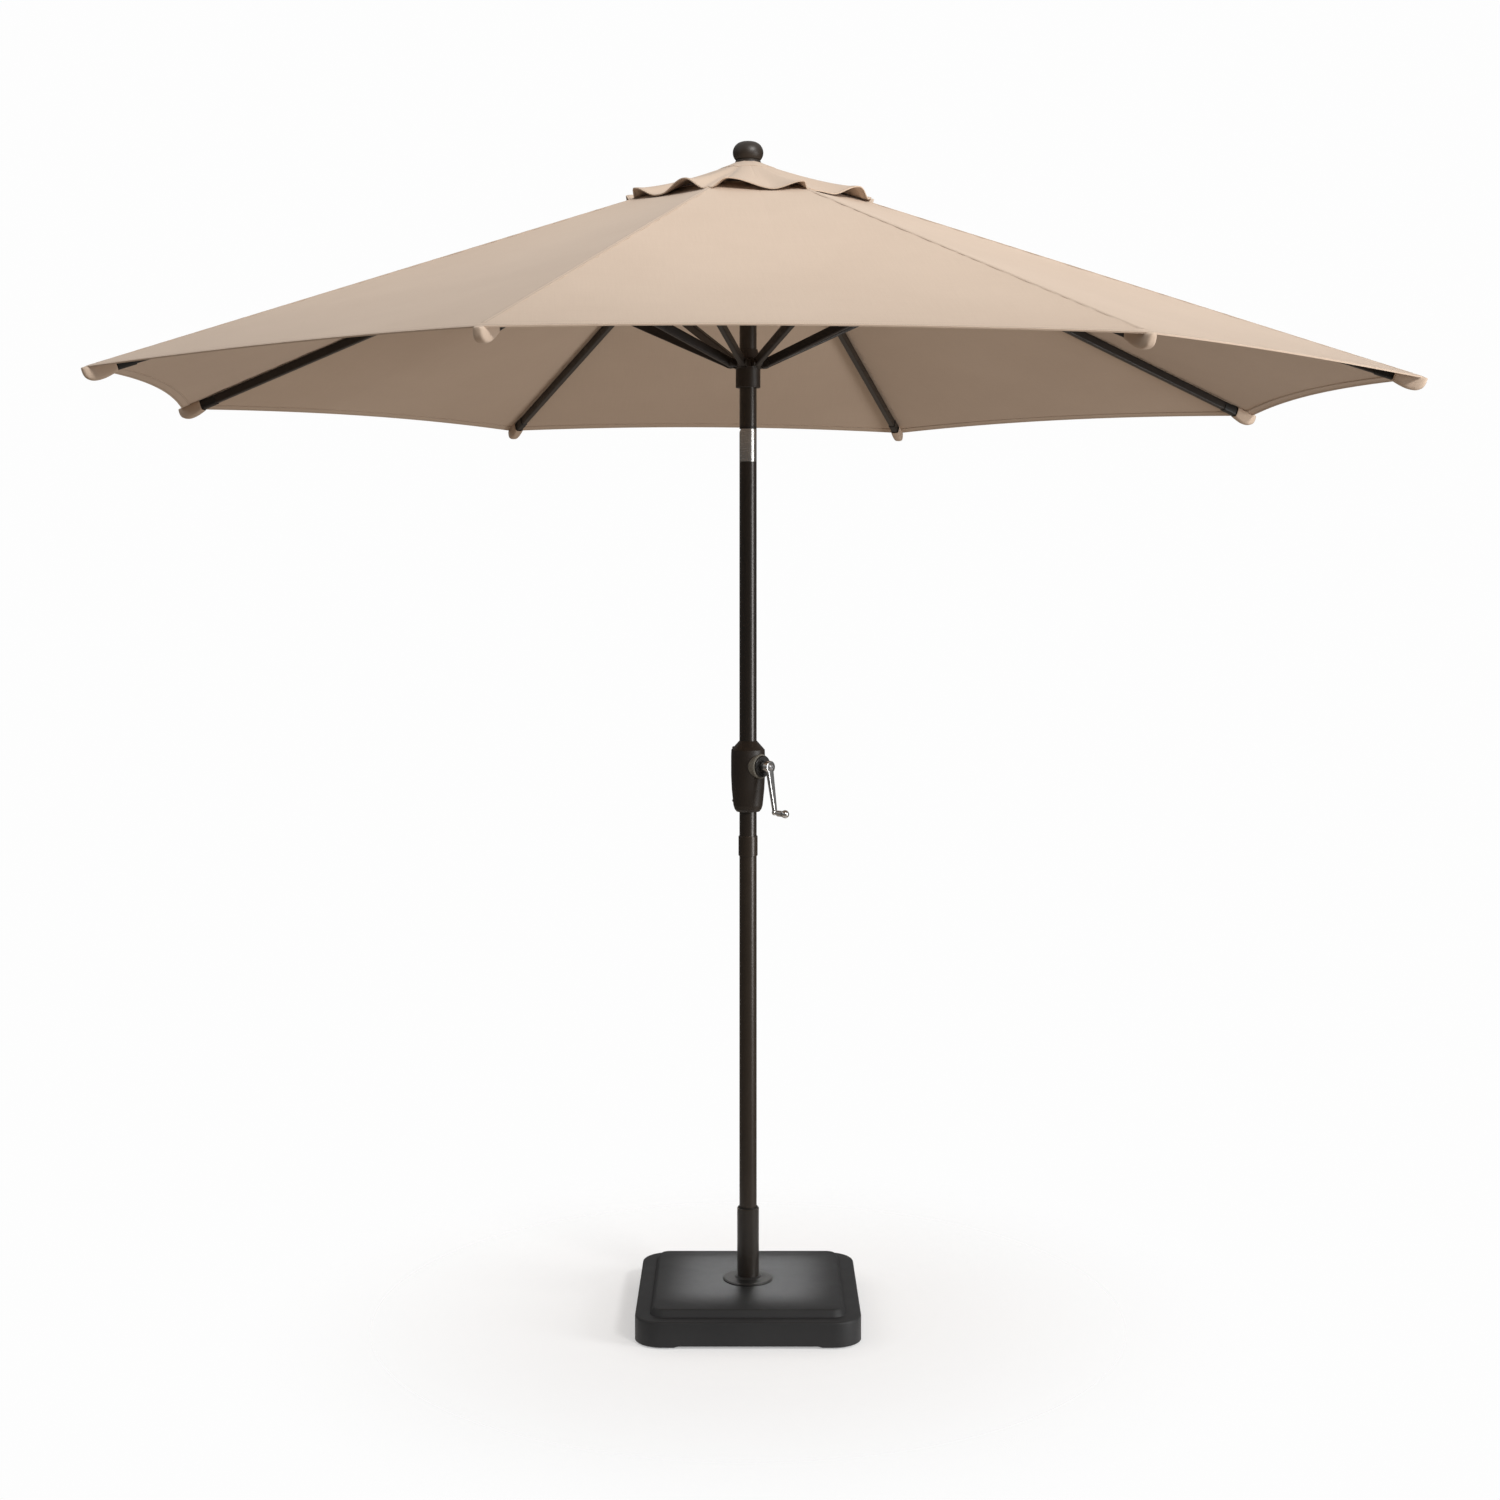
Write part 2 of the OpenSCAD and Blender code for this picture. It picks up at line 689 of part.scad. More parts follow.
// A point of the vent, all the way round: the hem lies on the canopy at the ribs and lifts between them.
function vent_point(i, j, lift) = let(
    bay_j = vent_cols / 8,
    w = (j % bay_j) / (bay_j / 2),
    rho = 27 + (vent_r - 27) * i / vent_rows,
    chord = cos(22.5) / cos((w - 1) * 22.5),
    turn = rib_turn + 360 * j / vent_cols,
    crown = vent_apex - 1,
    rib_line = crown + (seam_z(vent_r) + cloth + 3 - crown) * i / vent_rows)
    [rho * chord * cos(turn), rho * chord * sin(turn),
        rib_line + vent_puff * pow(i / vent_rows, 1.5) * (1 - pow(1 - w, 2)) + lift];

// The faces of a closed ring of n rows by m columns, upper grid first.
function ring_faces(n, m) = let(a = n * m) concat(
    [for (i = [0:n - 2], j = [0:m - 1]) each let(p = i * m + j, q = i * m + (j + 1) % m)
        [[p, q + m, p + m], [p, q, q + m],
         [a + p, a + p + m, a + q + m], [a + p, a + q + m, a + q]]],
    [for (j = [0:m - 1]) each let(p = j, q = (j + 1) % m, r = (n - 1) * m + p, s = (n - 1) * m + q)
        [[p, a + q, q], [p, a + p, a + q], [r, s, a + s], [r, a + s, a + r]]]);

module vent_cap() {
    color(tan_cloth) polyhedron(
        points = [for (side = [cloth, 0], i = [0:vent_rows], j = [0:vent_cols - 1])
            vent_point(i, j, side)],
        faces = ring_faces(vent_rows + 1, vent_cols));
}

base_shell();
base_ballast();
base_bottom_plate();
base_feet();
socket_flange();
socket_tube();
socket_liner();
socket_knob();
lower_pole();
joint_sleeve();
joint_collar();
main_pole();
crank_housing_front();
crank_housing_back();
housing_screws();
crank_bezel();
crank_collar();
crank_bush();
cord_drum();
crank_arm();
crank_screw();
crank_grip();
tilt_joint();
tilt_pin();
tilt_head();
tilt_button();
button_spring();
upper_pole();
top_hub();
hub_pins();
pulley();
pulley_axle();
crown_washer();
finial();
runner();
rib(1);  // rib_1
rib(2);  // rib_2
rib(3);  // rib_3
rib(4);  // rib_4
rib(5);  // rib_5
rib(6);  // rib_6
rib(7);  // rib_7
rib(8);  // rib_8
strut(1);  // strut_1
strut(2);  // strut_2
strut(3);  // strut_3
strut(4);  // strut_4
strut(5);  // strut_5
strut(6);  // strut_6
strut(7);  // strut_7
strut(8);  // strut_8
canopy_sector(1);  // canopy_1
canopy_sector(2);  // canopy_2
canopy_sector(3);  // canopy_3
canopy_sector(4);  // canopy_4
canopy_sector(5);  // canopy_5
canopy_sector(6);  // canopy_6
canopy_sector(7);  // canopy_7
canopy_sector(8);  // canopy_8
vent_cap();
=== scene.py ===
# %% [markdown]
# # A market umbrella, dressed over its frame
# The metal and plastic parts come ready from the CAD frame. This lesson gives them their finishes, replaces
# the plain closed solids of the cloth with a stitched canopy, and remakes the few parts that have moulded,
# rounded forms. Everything is in metres, and +Z is up along the pole.

import json
import math

import bmesh
import bpy
from mathutils import Matrix, Vector


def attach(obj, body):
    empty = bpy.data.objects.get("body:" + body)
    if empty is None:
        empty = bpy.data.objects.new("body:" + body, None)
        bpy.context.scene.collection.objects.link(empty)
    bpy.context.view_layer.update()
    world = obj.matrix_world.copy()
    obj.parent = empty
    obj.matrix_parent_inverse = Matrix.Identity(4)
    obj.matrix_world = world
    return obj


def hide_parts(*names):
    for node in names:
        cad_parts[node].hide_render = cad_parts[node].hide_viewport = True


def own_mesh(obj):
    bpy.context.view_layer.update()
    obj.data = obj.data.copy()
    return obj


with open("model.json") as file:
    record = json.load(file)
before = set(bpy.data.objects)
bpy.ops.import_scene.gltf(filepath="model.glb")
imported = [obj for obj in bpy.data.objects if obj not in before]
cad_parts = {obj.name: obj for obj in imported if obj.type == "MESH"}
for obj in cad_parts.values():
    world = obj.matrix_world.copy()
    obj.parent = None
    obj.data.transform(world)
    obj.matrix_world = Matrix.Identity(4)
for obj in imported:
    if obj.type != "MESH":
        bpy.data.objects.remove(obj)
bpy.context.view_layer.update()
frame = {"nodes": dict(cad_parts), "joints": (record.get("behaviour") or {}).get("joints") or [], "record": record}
joints = {joint["name"]: joint for joint in frame["joints"]}

# %% [markdown]
# ## Camera
# The umbrella is seen straight on, from chest height, so the camera is level and the frame is shifted down
# a little to take in the base. A level camera keeps the pole upright, which tilting the camera would not.

# %% Camera
camera_data = bpy.data.cameras.new("camera")
camera_data.sensor_width = 36
camera_data.lens = 52.75
camera_data.shift_x = 0.0013
camera_data.shift_y = -0.121
camera = bpy.data.objects.new("camera", camera_data)
camera.location = (0, -4.59, 1.55)
camera.rotation_euler = (math.radians(90), 0, 0)
bpy.context.scene.collection.objects.link(camera)
bpy.context.scene.camera = camera
print("camera at", tuple(camera.location), "lens", camera_data.lens)

# %% [markdown]
# ## Light
# A bright, plain studio. A large soft spot light at the front right gives the canopy its light side, and
# its cone ends above the ground, so the pole stays dark. A weak soft box fills from the left, and a tall
# one at the right draws the highlight down the pole. A small box with a narrow spread hangs just behind the
# pole and lights only the top of the base.

# %% Studio light


def hang(data, place, aim, watts, colour):
    """Hangs a light at its place and turns it to look at a point."""
    data.energy = watts
    data.color = colour
    light = bpy.data.objects.new(data.name, data)
    light.location = place
    light.rotation_euler = (Vector(aim) - Vector(place)).to_track_quat("-Z", "Y").to_euler()
    bpy.context.scene.collection.objects.link(light)
    return light


def soft_box(name, place, aim, size, watts, colour=(1, 1, 1)):
    """A rectangular area light that looks at a point."""
    data = bpy.data.lights.new(name, "AREA")
    data.shape = "RECTANGLE"
    data.size, data.size_y = size
    return hang(data, place, aim, watts, colour)


def soft_spot(name, place, aim, watts, cone, radius, colour=(1, 1, 1)):
    """A large soft spot light whose cone, in degrees, leaves the ground dark."""
    data = bpy.data.lights.new(name, "SPOT")
    data.spot_size = math.radians(cone)
    data.spot_blend = 0.45
    data.shadow_soft_size = radius
    return hang(data, place, aim, watts, colour)


soft_spot("key_light", (3.6, -5.2, 5.4), (-0.05, 0, 2.70), 2150, 35, 1.1, (1, 0.985, 0.97))
soft_box("fill_light", (-5.5, -2.0, 4.4), (0, 0, 1.9), (2.0, 2.6), 16, (1, 0.98, 0.95))
soft_box("side_light", (3.4, -1.6, 1.10), (0, 0, 1.10), (1.2, 2.0), 74)
base_light = soft_box("base_light", (0.02, 0.36, 1.70), (0, 0.01, 0.05), (0.27, 0.27), 0.8)
base_light.data.spread = math.radians(5)
print("lights:", [light.name for light in bpy.data.lights])

# %% [markdown]
# ## Surroundings
# Metal and gloss mirror what is around them, so the surroundings run from a warm tone below, which is also
# the light on the cloth's underside, through a dark band to a light grey above. The camera itself sees
# plain white behind the object: a Light Path node tells the two apart.

# %% Surroundings
SKY_TONES = (
    (0.0, (0.58, 0.48, 0.39)),
    (0.45, (0.09, 0.085, 0.08)),
    (0.62, (0.24, 0.24, 0.24)),
    (0.92, (0.8, 0.8, 0.8)),
)
world = bpy.data.worlds.new("studio")
bpy.context.scene.world = world
world.use_nodes = True
sky = world.node_tree
sky.nodes.clear()
sky_out = sky.nodes.new("ShaderNodeOutputWorld")
sky_mix = sky.nodes.new("ShaderNodeMixShader")
sky_path = sky.nodes.new("ShaderNodeLightPath")
sky_seen = sky.nodes.new("ShaderNodeBackground")
sky_seen.inputs["Color"].default_value = (0.985, 0.985, 0.985, 1)
sky_soft = sky.nodes.new("ShaderNodeBackground")
sky_place = sky.nodes.new("ShaderNodeTexCoord")
sky_split = sky.nodes.new("ShaderNodeSeparateXYZ")
sky_ramp = sky.nodes.new("ShaderNodeValToRGB")
while len(sky_ramp.color_ramp.elements) < len(SKY_TONES):
    sky_ramp.color_ramp.elements.new(0.5)
for step, (position, tone) in zip(sky_ramp.color_ramp.elements, SKY_TONES):
    step.position = position
    step.color = (*tone, 1)
sky_soft.inputs["Strength"].default_value = 0.9
sky_half = sky.nodes.new("ShaderNodeMath")
sky_half.operation = "MULTIPLY_ADD"
sky_half.inputs[1].default_value = 0.5
sky_half.inputs[2].default_value = 0.5
sky.links.new(sky_place.outputs["Generated"], sky_split.inputs[0])
sky.links.new(sky_split.outputs["Z"], sky_half.inputs[0])
sky.links.new(sky_half.outputs[0], sky_ramp.inputs["Fac"])
sky.links.new(sky_ramp.outputs["Color"], sky_soft.inputs["Color"])
sky.links.new(sky_path.outputs["Is Camera Ray"], sky_mix.inputs["Fac"])
sky.links.new(sky_soft.outputs[0], sky_mix.inputs[1])
sky.links.new(sky_seen.outputs[0], sky_mix.inputs[2])
sky.links.new(sky_mix.outputs[0], sky_out.inputs["Surface"])
bpy.context.scene.view_settings.view_transform = "Standard"
bpy.context.scene.view_settings.look = "None"
print("surroundings:", len(SKY_TONES), "tones")

# %% [markdown]
# ## Small helpers for modelling
# An operator works on everything that is selected, so each piece starts with nothing selected. Faces and
# edges are then picked by a test on their place or their normal, which does by rule what a hand does with
# the mouse.

# %% Modelling helpers


def select_only(piece):
    """Back to object mode with this piece alone selected and active."""
    if bpy.context.mode != "OBJECT":
        bpy.ops.object.mode_set(mode="OBJECT")
    bpy.ops.object.select_all(action="DESELECT")
    if piece is not None:
        piece.select_set(True)
        bpy.context.view_layer.objects.active = piece


def start_box(name, size, centre):
    """A box at its size and place, as the start of a piece."""
    select_only(None)
    bpy.ops.mesh.primitive_cube_add(size=1, location=centre)
    piece = bpy.context.object
    piece.name = piece.data.name = name
    piece.scale = size
    bpy.ops.object.transform_apply(location=True, rotation=True, scale=True)
    return piece


def start_round(name, radius, depth, centre, sides):
    """A round bar along X at its size and place, as the start of a piece."""
    turn = (0, math.pi / 2, 0)
    select_only(None)
    bpy.ops.mesh.primitive_cylinder_add(
        vertices=sides, radius=radius, depth=depth, location=centre, rotation=turn
    )
    piece = bpy.context.object
    piece.name = piece.data.name = name
    bpy.ops.object.transform_apply(location=True, rotation=True, scale=True)
    return piece


def pick(piece, kind, test):
    """In edit mode, selects the elements of a kind, FACE, EDGE or VERT, that pass the test and no others."""
    select_only(piece)
    bpy.ops.object.mode_set(mode="EDIT")
    bpy.ops.mesh.select_mode(type=kind)
    bpy.ops.mesh.select_all(action="DESELECT")
    shape = bmesh.from_edit_mesh(piece.data)
    for element in {"FACE": shape.faces, "EDGE": shape.edges, "VERT": shape.verts}[kind]:
        element.select_set(bool(test(element)))
    shape.select_flush_mode()
    bmesh.update_edit_mesh(piece.data)


def between(edge, test_a, test_b):
    """True where the edge joins a face of one kind to a face of the other."""
    if len(edge.link_faces) != 2:
        return False
    a, b = edge.link_faces
    return bool((test_a(a) and test_b(b)) or (test_a(b) and test_b(a)))


def smooth(piece, degrees):
    """Smooth shading that stays crisp across edges sharper than the angle."""
    select_only(piece)
    bpy.ops.object.shade_smooth_by_angle(angle=math.radians(degrees))


def set_down(piece, matrix):
    """Moves a piece's mesh to its place, so that the object stays at the origin."""
    piece.data.transform(matrix)
    piece.data.update()


def copy_of(piece, name):
    """A copy with a mesh of its own."""
    twin = piece.copy()
    twin.data = piece.data.copy()
    twin.name = twin.data.name = name
    bpy.context.scene.collection.objects.link(twin)
    return twin


def report(piece):
    """Prints what was made and how large it is."""
    size = [round(1000 * side, 1) for side in piece.dimensions]
    print(f"{piece.name}: {len(piece.data.polygons)} faces, {size} mm")


# %% [markdown]
# ## Finishes: how a material is put together
# Every finish starts from one Principled shader. Numbers that hold all over the surface go straight on its
# sockets. What varies, such as the weave, the grain or the fading, comes from procedural textures in
# metres.

# %% Finish helpers


class Finish:
    """A node material that is built up step by step."""

    def __init__(self, name, roughness, metallic=0.0, **constants):
        self.material = bpy.data.materials.new(name)
        self.material.use_nodes = True
        self.tree = self.material.node_tree
        self.shader = self.tree.nodes["Principled BSDF"]
        self.shader.inputs["Roughness"].default_value = roughness
        self.shader.inputs["Metallic"].default_value = metallic
        for socket, value in constants.items():
            self.shader.inputs[socket.replace("_", " ")].default_value = value
        self.coordinates = self.tree.nodes.new("ShaderNodeTexCoord")

    def node(self, kind, **settings):
        """A new node with its settings."""
        made = self.tree.nodes.new("ShaderNode" + kind)
        for key, value in settings.items():
            setattr(made, key, value)
        return made

    def link(self, start, end):
        """Leads one node's output to another's input."""
        self.tree.links.new(start, end)

    def place(self, scale=(1, 1, 1), source="Object", turn=(0, 0, 0)):
        """Coordinates in metres, stretched by a Mapping node."""
        mapping = self.node("Mapping")
        mapping.inputs["Scale"].default_value = scale
        mapping.inputs["Rotation"].default_value = turn
        self.link(self.coordinates.outputs[source], mapping.inputs["Vector"])
        return mapping.outputs["Vector"]

    def noise(self, scale, detail, roughness=0.55, at=None):
        """A cloudy pattern from 0 to 1, finer for a larger scale."""
        texture = self.node("TexNoise")
        texture.inputs["Scale"].default_value = scale
        texture.inputs["Detail"].default_value = detail
        texture.inputs["Roughness"].default_value = roughness
        self.link(at or self.place(), texture.inputs["Vector"])
        return texture.outputs["Fac"]

    def ramp(self, factor, stops):
        """A colour ramp from a list of (position, colour)."""
        made = self.node("ValToRGB")
        bar = made.color_ramp
        while len(bar.elements) < len(stops):
            bar.elements.new(0.5)
        for element, (position, colour) in zip(bar.elements, stops):
            element.position = position
            element.color = (*colour, 1)
        self.link(factor, made.inputs["Fac"])
        return made.outputs["Color"]

    def maths(self, operation, a, b=None, c=None):
        """One step of arithmetic on sockets or plain numbers."""
        made = self.node("Math", operation=operation)
        for slot, value in enumerate((a, b, c)):
            if value is None:
                continue
            if isinstance(value, (int, float)):
                made.inputs[slot].default_value = value
            else:
                self.link(value, made.inputs[slot])
        return made.outputs[0]

    def spread(self, factor, low, high):
        """Rescales 0..1 to low..high."""
        made = self.node("MapRange")
        made.inputs["To Min"].default_value = low
        made.inputs["To Max"].default_value = high
        self.link(factor, made.inputs["Value"])
        return made.outputs["Result"]

    def mixed(self, factor, a, b, blend="MIX"):
        """Two colours mixed or blended by a factor."""
        made = self.node("Mix", data_type="RGBA", blend_type=blend)
        for slot, value in ((6, a), (7, b)):
            if isinstance(value, tuple):
                made.inputs[slot].default_value = (*value, 1)
            else:
                self.link(value, made.inputs[slot])
        if isinstance(factor, float):
            made.inputs[0].default_value = factor
        else:
            self.link(factor, made.inputs[0])
        return made.outputs[2]

    def bump(self, height, distance, strength, over=None):
        """Relief from a height, on top of another relief where one is given."""
        made = self.node("Bump")
        made.inputs["Distance"].default_value = distance
        made.inputs["Strength"].default_value = strength
        self.link(height, made.inputs["Height"])
        if over is not None:
            self.link(over, made.inputs["Normal"])
        return made.outputs["Normal"]

    def finish(self, colour, roughness, normal):
        """Leads the results to the shader, and gives the material."""
        self.link(colour, self.shader.inputs["Base Color"])
        if roughness is not None:
            self.link(roughness, self.shader.inputs["Roughness"])
        self.link(normal, self.shader.inputs["Normal"])
        return self.material


# %% [markdown]
# ## Dark bronze metal and plastic
# The poles, ribs and struts are steel tube with a dark bronze powder coat, which has a fine orange peel and
# a slightly uneven gloss. The housings and the runner are moulded plastic in the same colour, duller and
# finely grained. The lower pole is a touch browner. The ribs and struts get a darker copy of the coat, which
# is painted shade for their place under the canopy. One recipe with different numbers makes all of them.

# %% Bronze finishes


def bronze(name, dark, light, roughness, peel, metallic=0.0, coat=0.0):
    """Dark bronze with an orange peel of the given depth, in metres."""
    made = Finish(name, roughness, metallic, Coat_Weight=coat, Coat_Roughness=0.25)
    cloudy = made.noise(9, 4)
    colour = made.ramp(cloudy, [(0.3, dark), (0.7, light)])
    gloss = made.spread(made.noise(34, 3), roughness - 0.06, roughness + 0.07)
    fine = made.bump(made.noise(1500, 2), peel, 0.5)
    wavy = made.bump(made.noise(260, 2), peel * 2.2, 0.35, fine)
    return made.finish(colour, gloss, wavy)


upper_bronze = bronze(
    "powder_coat_dark", (0.019, 0.014, 0.0095), (0.026, 0.019, 0.0135),
    roughness=0.34, peel=0.00004, metallic=0.25, coat=0.35,
)
lower_bronze = bronze(
    "powder_coat_brown", (0.025, 0.0175, 0.011), (0.033, 0.023, 0.015),
    roughness=0.36, peel=0.00004, metallic=0.25, coat=0.3,
)
# Painted shade: the same coat, made darker, for the ribs and struts that sit under the canopy.
shaded_rib_bronze = bronze(
    "powder_coat_rib_painted_shade", (0.013, 0.0095, 0.0075), (0.018, 0.0135, 0.0105),
    roughness=0.40, peel=0.00005, metallic=0.2, coat=0.1,
)
bronze_plastic = bronze(
    "moulded_bronze", (0.016, 0.0105, 0.0065), (0.022, 0.0145, 0.0095), roughness=0.46, peel=0.00006
)
print("bronze finishes:", upper_bronze.name, lower_bronze.name, shaded_rib_bronze.name, bronze_plastic.name)

# %% [markdown]
# ## Charcoal resin, rubber and black plastic
# The base is moulded from charcoal resin with a fine sandy grain, a little lighter where it has been
# rubbed. The grain is one small noise for the bump and a larger one for the uneven tone.

# %% Resin, rubber and black plastic


def grained(name, dark, light, roughness, grain, size):
    """A moulded surface whose grain has the given depth in metres and the given noise scale."""
    made = Finish(name, roughness, 0.0, Specular_IOR_Level=0.4)
    colour = made.ramp(made.noise(5, 5), [(0.35, dark), (0.7, light)])
    specks = made.ramp(made.noise(size, 2), [(0.46, (0.82, 0.82, 0.82)), (0.6, (1.0, 1.0, 1.0))])
    toned = made.mixed(0.5, colour, specks, "MULTIPLY")
    gloss = made.spread(made.noise(22, 4), roughness - 0.07, roughness + 0.08)
    return made.finish(toned, gloss, made.bump(made.noise(size, 3), grain, 0.6))


base_resin = grained("charcoal_resin", (0.016, 0.016, 0.0165), (0.022, 0.022, 0.0225), 0.5, 0.00022, 900)
rubber_black = grained("black_rubber", (0.012, 0.012, 0.012), (0.02, 0.02, 0.02), 0.7, 0.0001, 1400)
plastic_black = grained("black_plastic", (0.009, 0.0085, 0.008), (0.014, 0.013, 0.012), 0.42, 0.00006, 1600)
bezel_plastic = grained("bezel_plastic", (0.20, 0.19, 0.16), (0.25, 0.235, 0.20), 0.45, 0.00005, 1200)
concrete = grained("concrete_fill", (0.30, 0.29, 0.27), (0.40, 0.39, 0.36), 0.9, 0.0008, 300)
print("moulded finishes:", base_resin.name, rubber_black.name, plastic_black.name, bezel_plastic.name)

# %% [markdown]
# ## Bare metals
# The tilt joint is turned aluminium and the crank is polished cast metal. Fine lines along the turning
# direction break up the reflections, and the gloss varies a little where hands have touched it.

# %% Bare metals


def bare_metal(name, colour_a, colour_b, roughness, stretch, lines=0.00001):
    """Metal with fine lines of the given depth, stretched along one axis or even."""
    made = Finish(name, roughness, 1.0)
    grain = made.noise(60, 4, 0.6, made.place(stretch))
    colour = made.ramp(made.noise(16, 3), [(0.3, colour_a), (0.7, colour_b)])
    gloss = made.spread(grain, roughness - 0.05, roughness + 0.08)
    return made.finish(colour, gloss, made.bump(grain, lines, 0.5))


turned_aluminium = bare_metal(
    "turned_aluminium", (0.46, 0.455, 0.44), (0.56, 0.55, 0.53), 0.24, (1, 1, 40), lines=0.00002
)
polished_crank = bare_metal("polished_crank", (0.60, 0.60, 0.60), (0.70, 0.70, 0.69), 0.17, (6, 6, 6))
plain_steel = bare_metal("plain_steel", (0.42, 0.42, 0.43), (0.52, 0.52, 0.53), 0.32, (10, 10, 10))
bush_brass = bare_metal("bush_brass", (0.62, 0.45, 0.20), (0.72, 0.55, 0.27), 0.3, (8, 8, 8))
print("bare metals:", turned_aluminium.name, polished_crank.name, plain_steel.name, bush_brass.name)

# %% [markdown]
# ## Canopy cloth
# Solution-dyed canvas in light tan. The weave is drawn in the cloth's own UV map, which is laid out in
# metres, so warp and weft follow each panel. Two crossing waves make the threads, a long stretched noise
# makes the slubs, and a broad noise on the place makes the slight unevenness of colour.

# %% Canopy cloth
THREAD = 0.0011
STITCH = 0.0042
STITCH_SHARE = 0.72
STITCH_HALF = 0.0005


def canvas(name, tone_a, tone_b, stitch_rows=()):
    """Canvas, with dashed stitching along the given lines of the UV map's V, in metres."""
    made = Finish(name, 0.86, 0.0, Sheen_Weight=0.12, Sheen_Roughness=0.5, Specular_IOR_Level=0.25)
    split = made.node("SeparateXYZ")
    made.link(made.coordinates.outputs["UV"], split.inputs[0])
    across, along = split.outputs["X"], split.outputs["Y"]
    thread = 2 * math.pi / THREAD
    warp = made.maths("SINE", made.maths("MULTIPLY", across, thread))
    weft = made.maths("SINE", made.maths("MULTIPLY", along, thread))
    weave = made.maths("MULTIPLY", warp, weft)
    slub_a = made.noise(40, 3, 0.6, made.place((0.25, 9, 1), "UV"))
    slub_b = made.noise(40, 3, 0.6, made.place((9, 0.25, 1), "UV"))
    slubs = made.maths("ADD", slub_a, slub_b)
    broad = made.noise(2.2, 3)
    tone = made.maths("MULTIPLY_ADD", slubs, 0.35, made.maths("MULTIPLY_ADD", broad, 0.8, -0.25))
    colour = made.ramp(tone, [(0.25, tone_a), (0.75, tone_b)])
    soft = made.bump(made.noise(7, 2, 0.4, made.place((1, 0.35, 1), "UV")), 0.004, 0.35)
    normal = made.bump(made.maths("MULTIPLY_ADD", weave, 0.5, slubs), 0.00012, 0.45, soft)
    for line in stitch_rows:
        along_row = made.maths("FRACT", made.maths("DIVIDE", across, STITCH))
        dash = made.maths("LESS_THAN", along_row, STITCH_SHARE)
        off_row = made.maths("ABSOLUTE", made.maths("SUBTRACT", along, line))
        near = made.maths("LESS_THAN", off_row, STITCH_HALF)
        thread_mask = made.maths("MULTIPLY", dash, near)
        colour = made.mixed(thread_mask, colour, tuple(0.62 * c for c in tone_a))
        normal = made.bump(thread_mask, 0.0004, 0.8, normal)
    return made.finish(colour, None, normal)


CLOTH_DARK = (0.500, 0.388, 0.300)
CLOTH_LIGHT = (0.560, 0.443, 0.347)
canopy_cloth = canvas("canopy_canvas", CLOTH_DARK, CLOTH_LIGHT)
hem_cloth = canvas("hem_canvas", CLOTH_DARK, CLOTH_LIGHT, (0.004, 0.0195))
seam_cloth = canvas("seam_canvas", CLOTH_DARK, CLOTH_LIGHT, (-0.0035, 0.0035))
print("cloth finishes:", canopy_cloth.name, hem_cloth.name, seam_cloth.name)

# %% [markdown]
# ## Finishes on the frame's own parts
# A part whose shape is right keeps its mesh and only gets its finish. The finish follows the part's
# material slot in the record, with a few parts named one by one where the real one differs.

# %% Put the finishes on the frame
finish_of_slot = {
    "bronze_metal": upper_bronze,
    "bronze_plastic": bronze_plastic,
    "base_resin": base_resin,
    "ballast": concrete,
    "rubber": rubber_black,
    "black_plastic": plastic_black,
    "bezel_grey": bezel_plastic,
    "cast_aluminium": turned_aluminium,
    "crank_metal": polished_crank,
    "steel": plain_steel,
    "brass": bush_brass,
    "cloth": canopy_cloth,
}
finish_of_node = {"lower_pole": lower_bronze, "joint_collar": lower_bronze, "socket_flange": plastic_black}
for part in frame["record"]["subparts"]:
    node = part["node"]
    finish = finish_of_node.get(node, finish_of_slot[part["material_slot"]])
    # Ribs and struts take the darker coat, which is painted shade from the canopy above them.
    if node.startswith(("rib_", "strut_")):
        finish = shaded_rib_bronze
    shown = frame["nodes"][node]
    shown.data.materials.clear()
    shown.data.materials.append(finish)

# %% [markdown]
# ## The shape of the open canopy
# The cloth is stretched over eight ribs. Along a rib it is straight. Between two ribs it runs straight
# across, sinks a little, and its rim curves in. All pieces of cloth share these few functions, so that they
# meet everywhere.

# %% Canopy shape
first_hinge = joints["rib_1_fold"]["pos_m"]
HINGE_R = math.hypot(first_hinge[0], first_hinge[1])
HINGE_Z = first_hinge[2]
SLOPE = math.radians(19.6)
TIP_R = 1.350
RIM_CURVE = 0.030
SINK = 0.014
RIB_TOP = 0.0116
HOLE_R = 0.190
VENT_R = 0.272
HALF_TURN = math.radians(22.5)
HALF_TAN = 0.414
HALF_SINE = 0.3827
RIB_LENGTH = (TIP_R - HINGE_R) / math.cos(SLOPE)


def rib_turn(k):
    """Direction of rib k, as an angle about the pole."""
    place = joints[f"rib_{k}_fold"]["pos_m"]
    return math.atan2(place[1], place[0])


def rib_place(k):
    """From the rib's own frame, with +X down the rib, to the umbrella's."""
    place = Matrix.Translation(joints[f"rib_{k}_fold"]["pos_m"])
    return place @ Matrix.Rotation(rib_turn(k), 4, "Z") @ Matrix.Rotation(SLOPE, 4, "Y")


def bay(w):
    """0 over a rib and 1 half way to the next, where it is level."""
    return 1 - (1 - abs(w)) ** 2


def seam_height(rho):
    """Height of the cloth's underside on a rib."""
    return HINGE_Z - math.tan(SLOPE) * (rho - HINGE_R) + RIB_TOP / math.cos(SLOPE)


def turned(x, y, turn, height):
    """The point x out and y to the side of a direction about the pole."""
    return Vector((x * math.cos(turn) - y * math.sin(turn), x * math.sin(turn) + y * math.cos(turn), height))


def around(rho, w, turn, height):
    """The point w of the way to the panel's middle line, on the straight line between two ribs."""
    x = rho * (1 - (1 - math.cos(2 * HALF_TURN)) / 2 * abs(w))
    y = rho * math.sin(2 * HALF_TURN) / 2 * w
    return turned(x, y, turn, height)


def beside_rib(k, rho, y, height):
    """The point y to the side of rib k's line, square to the panel's middle line."""
    return turned(rho - abs(y) * HALF_TAN, y, rib_turn(k), height)


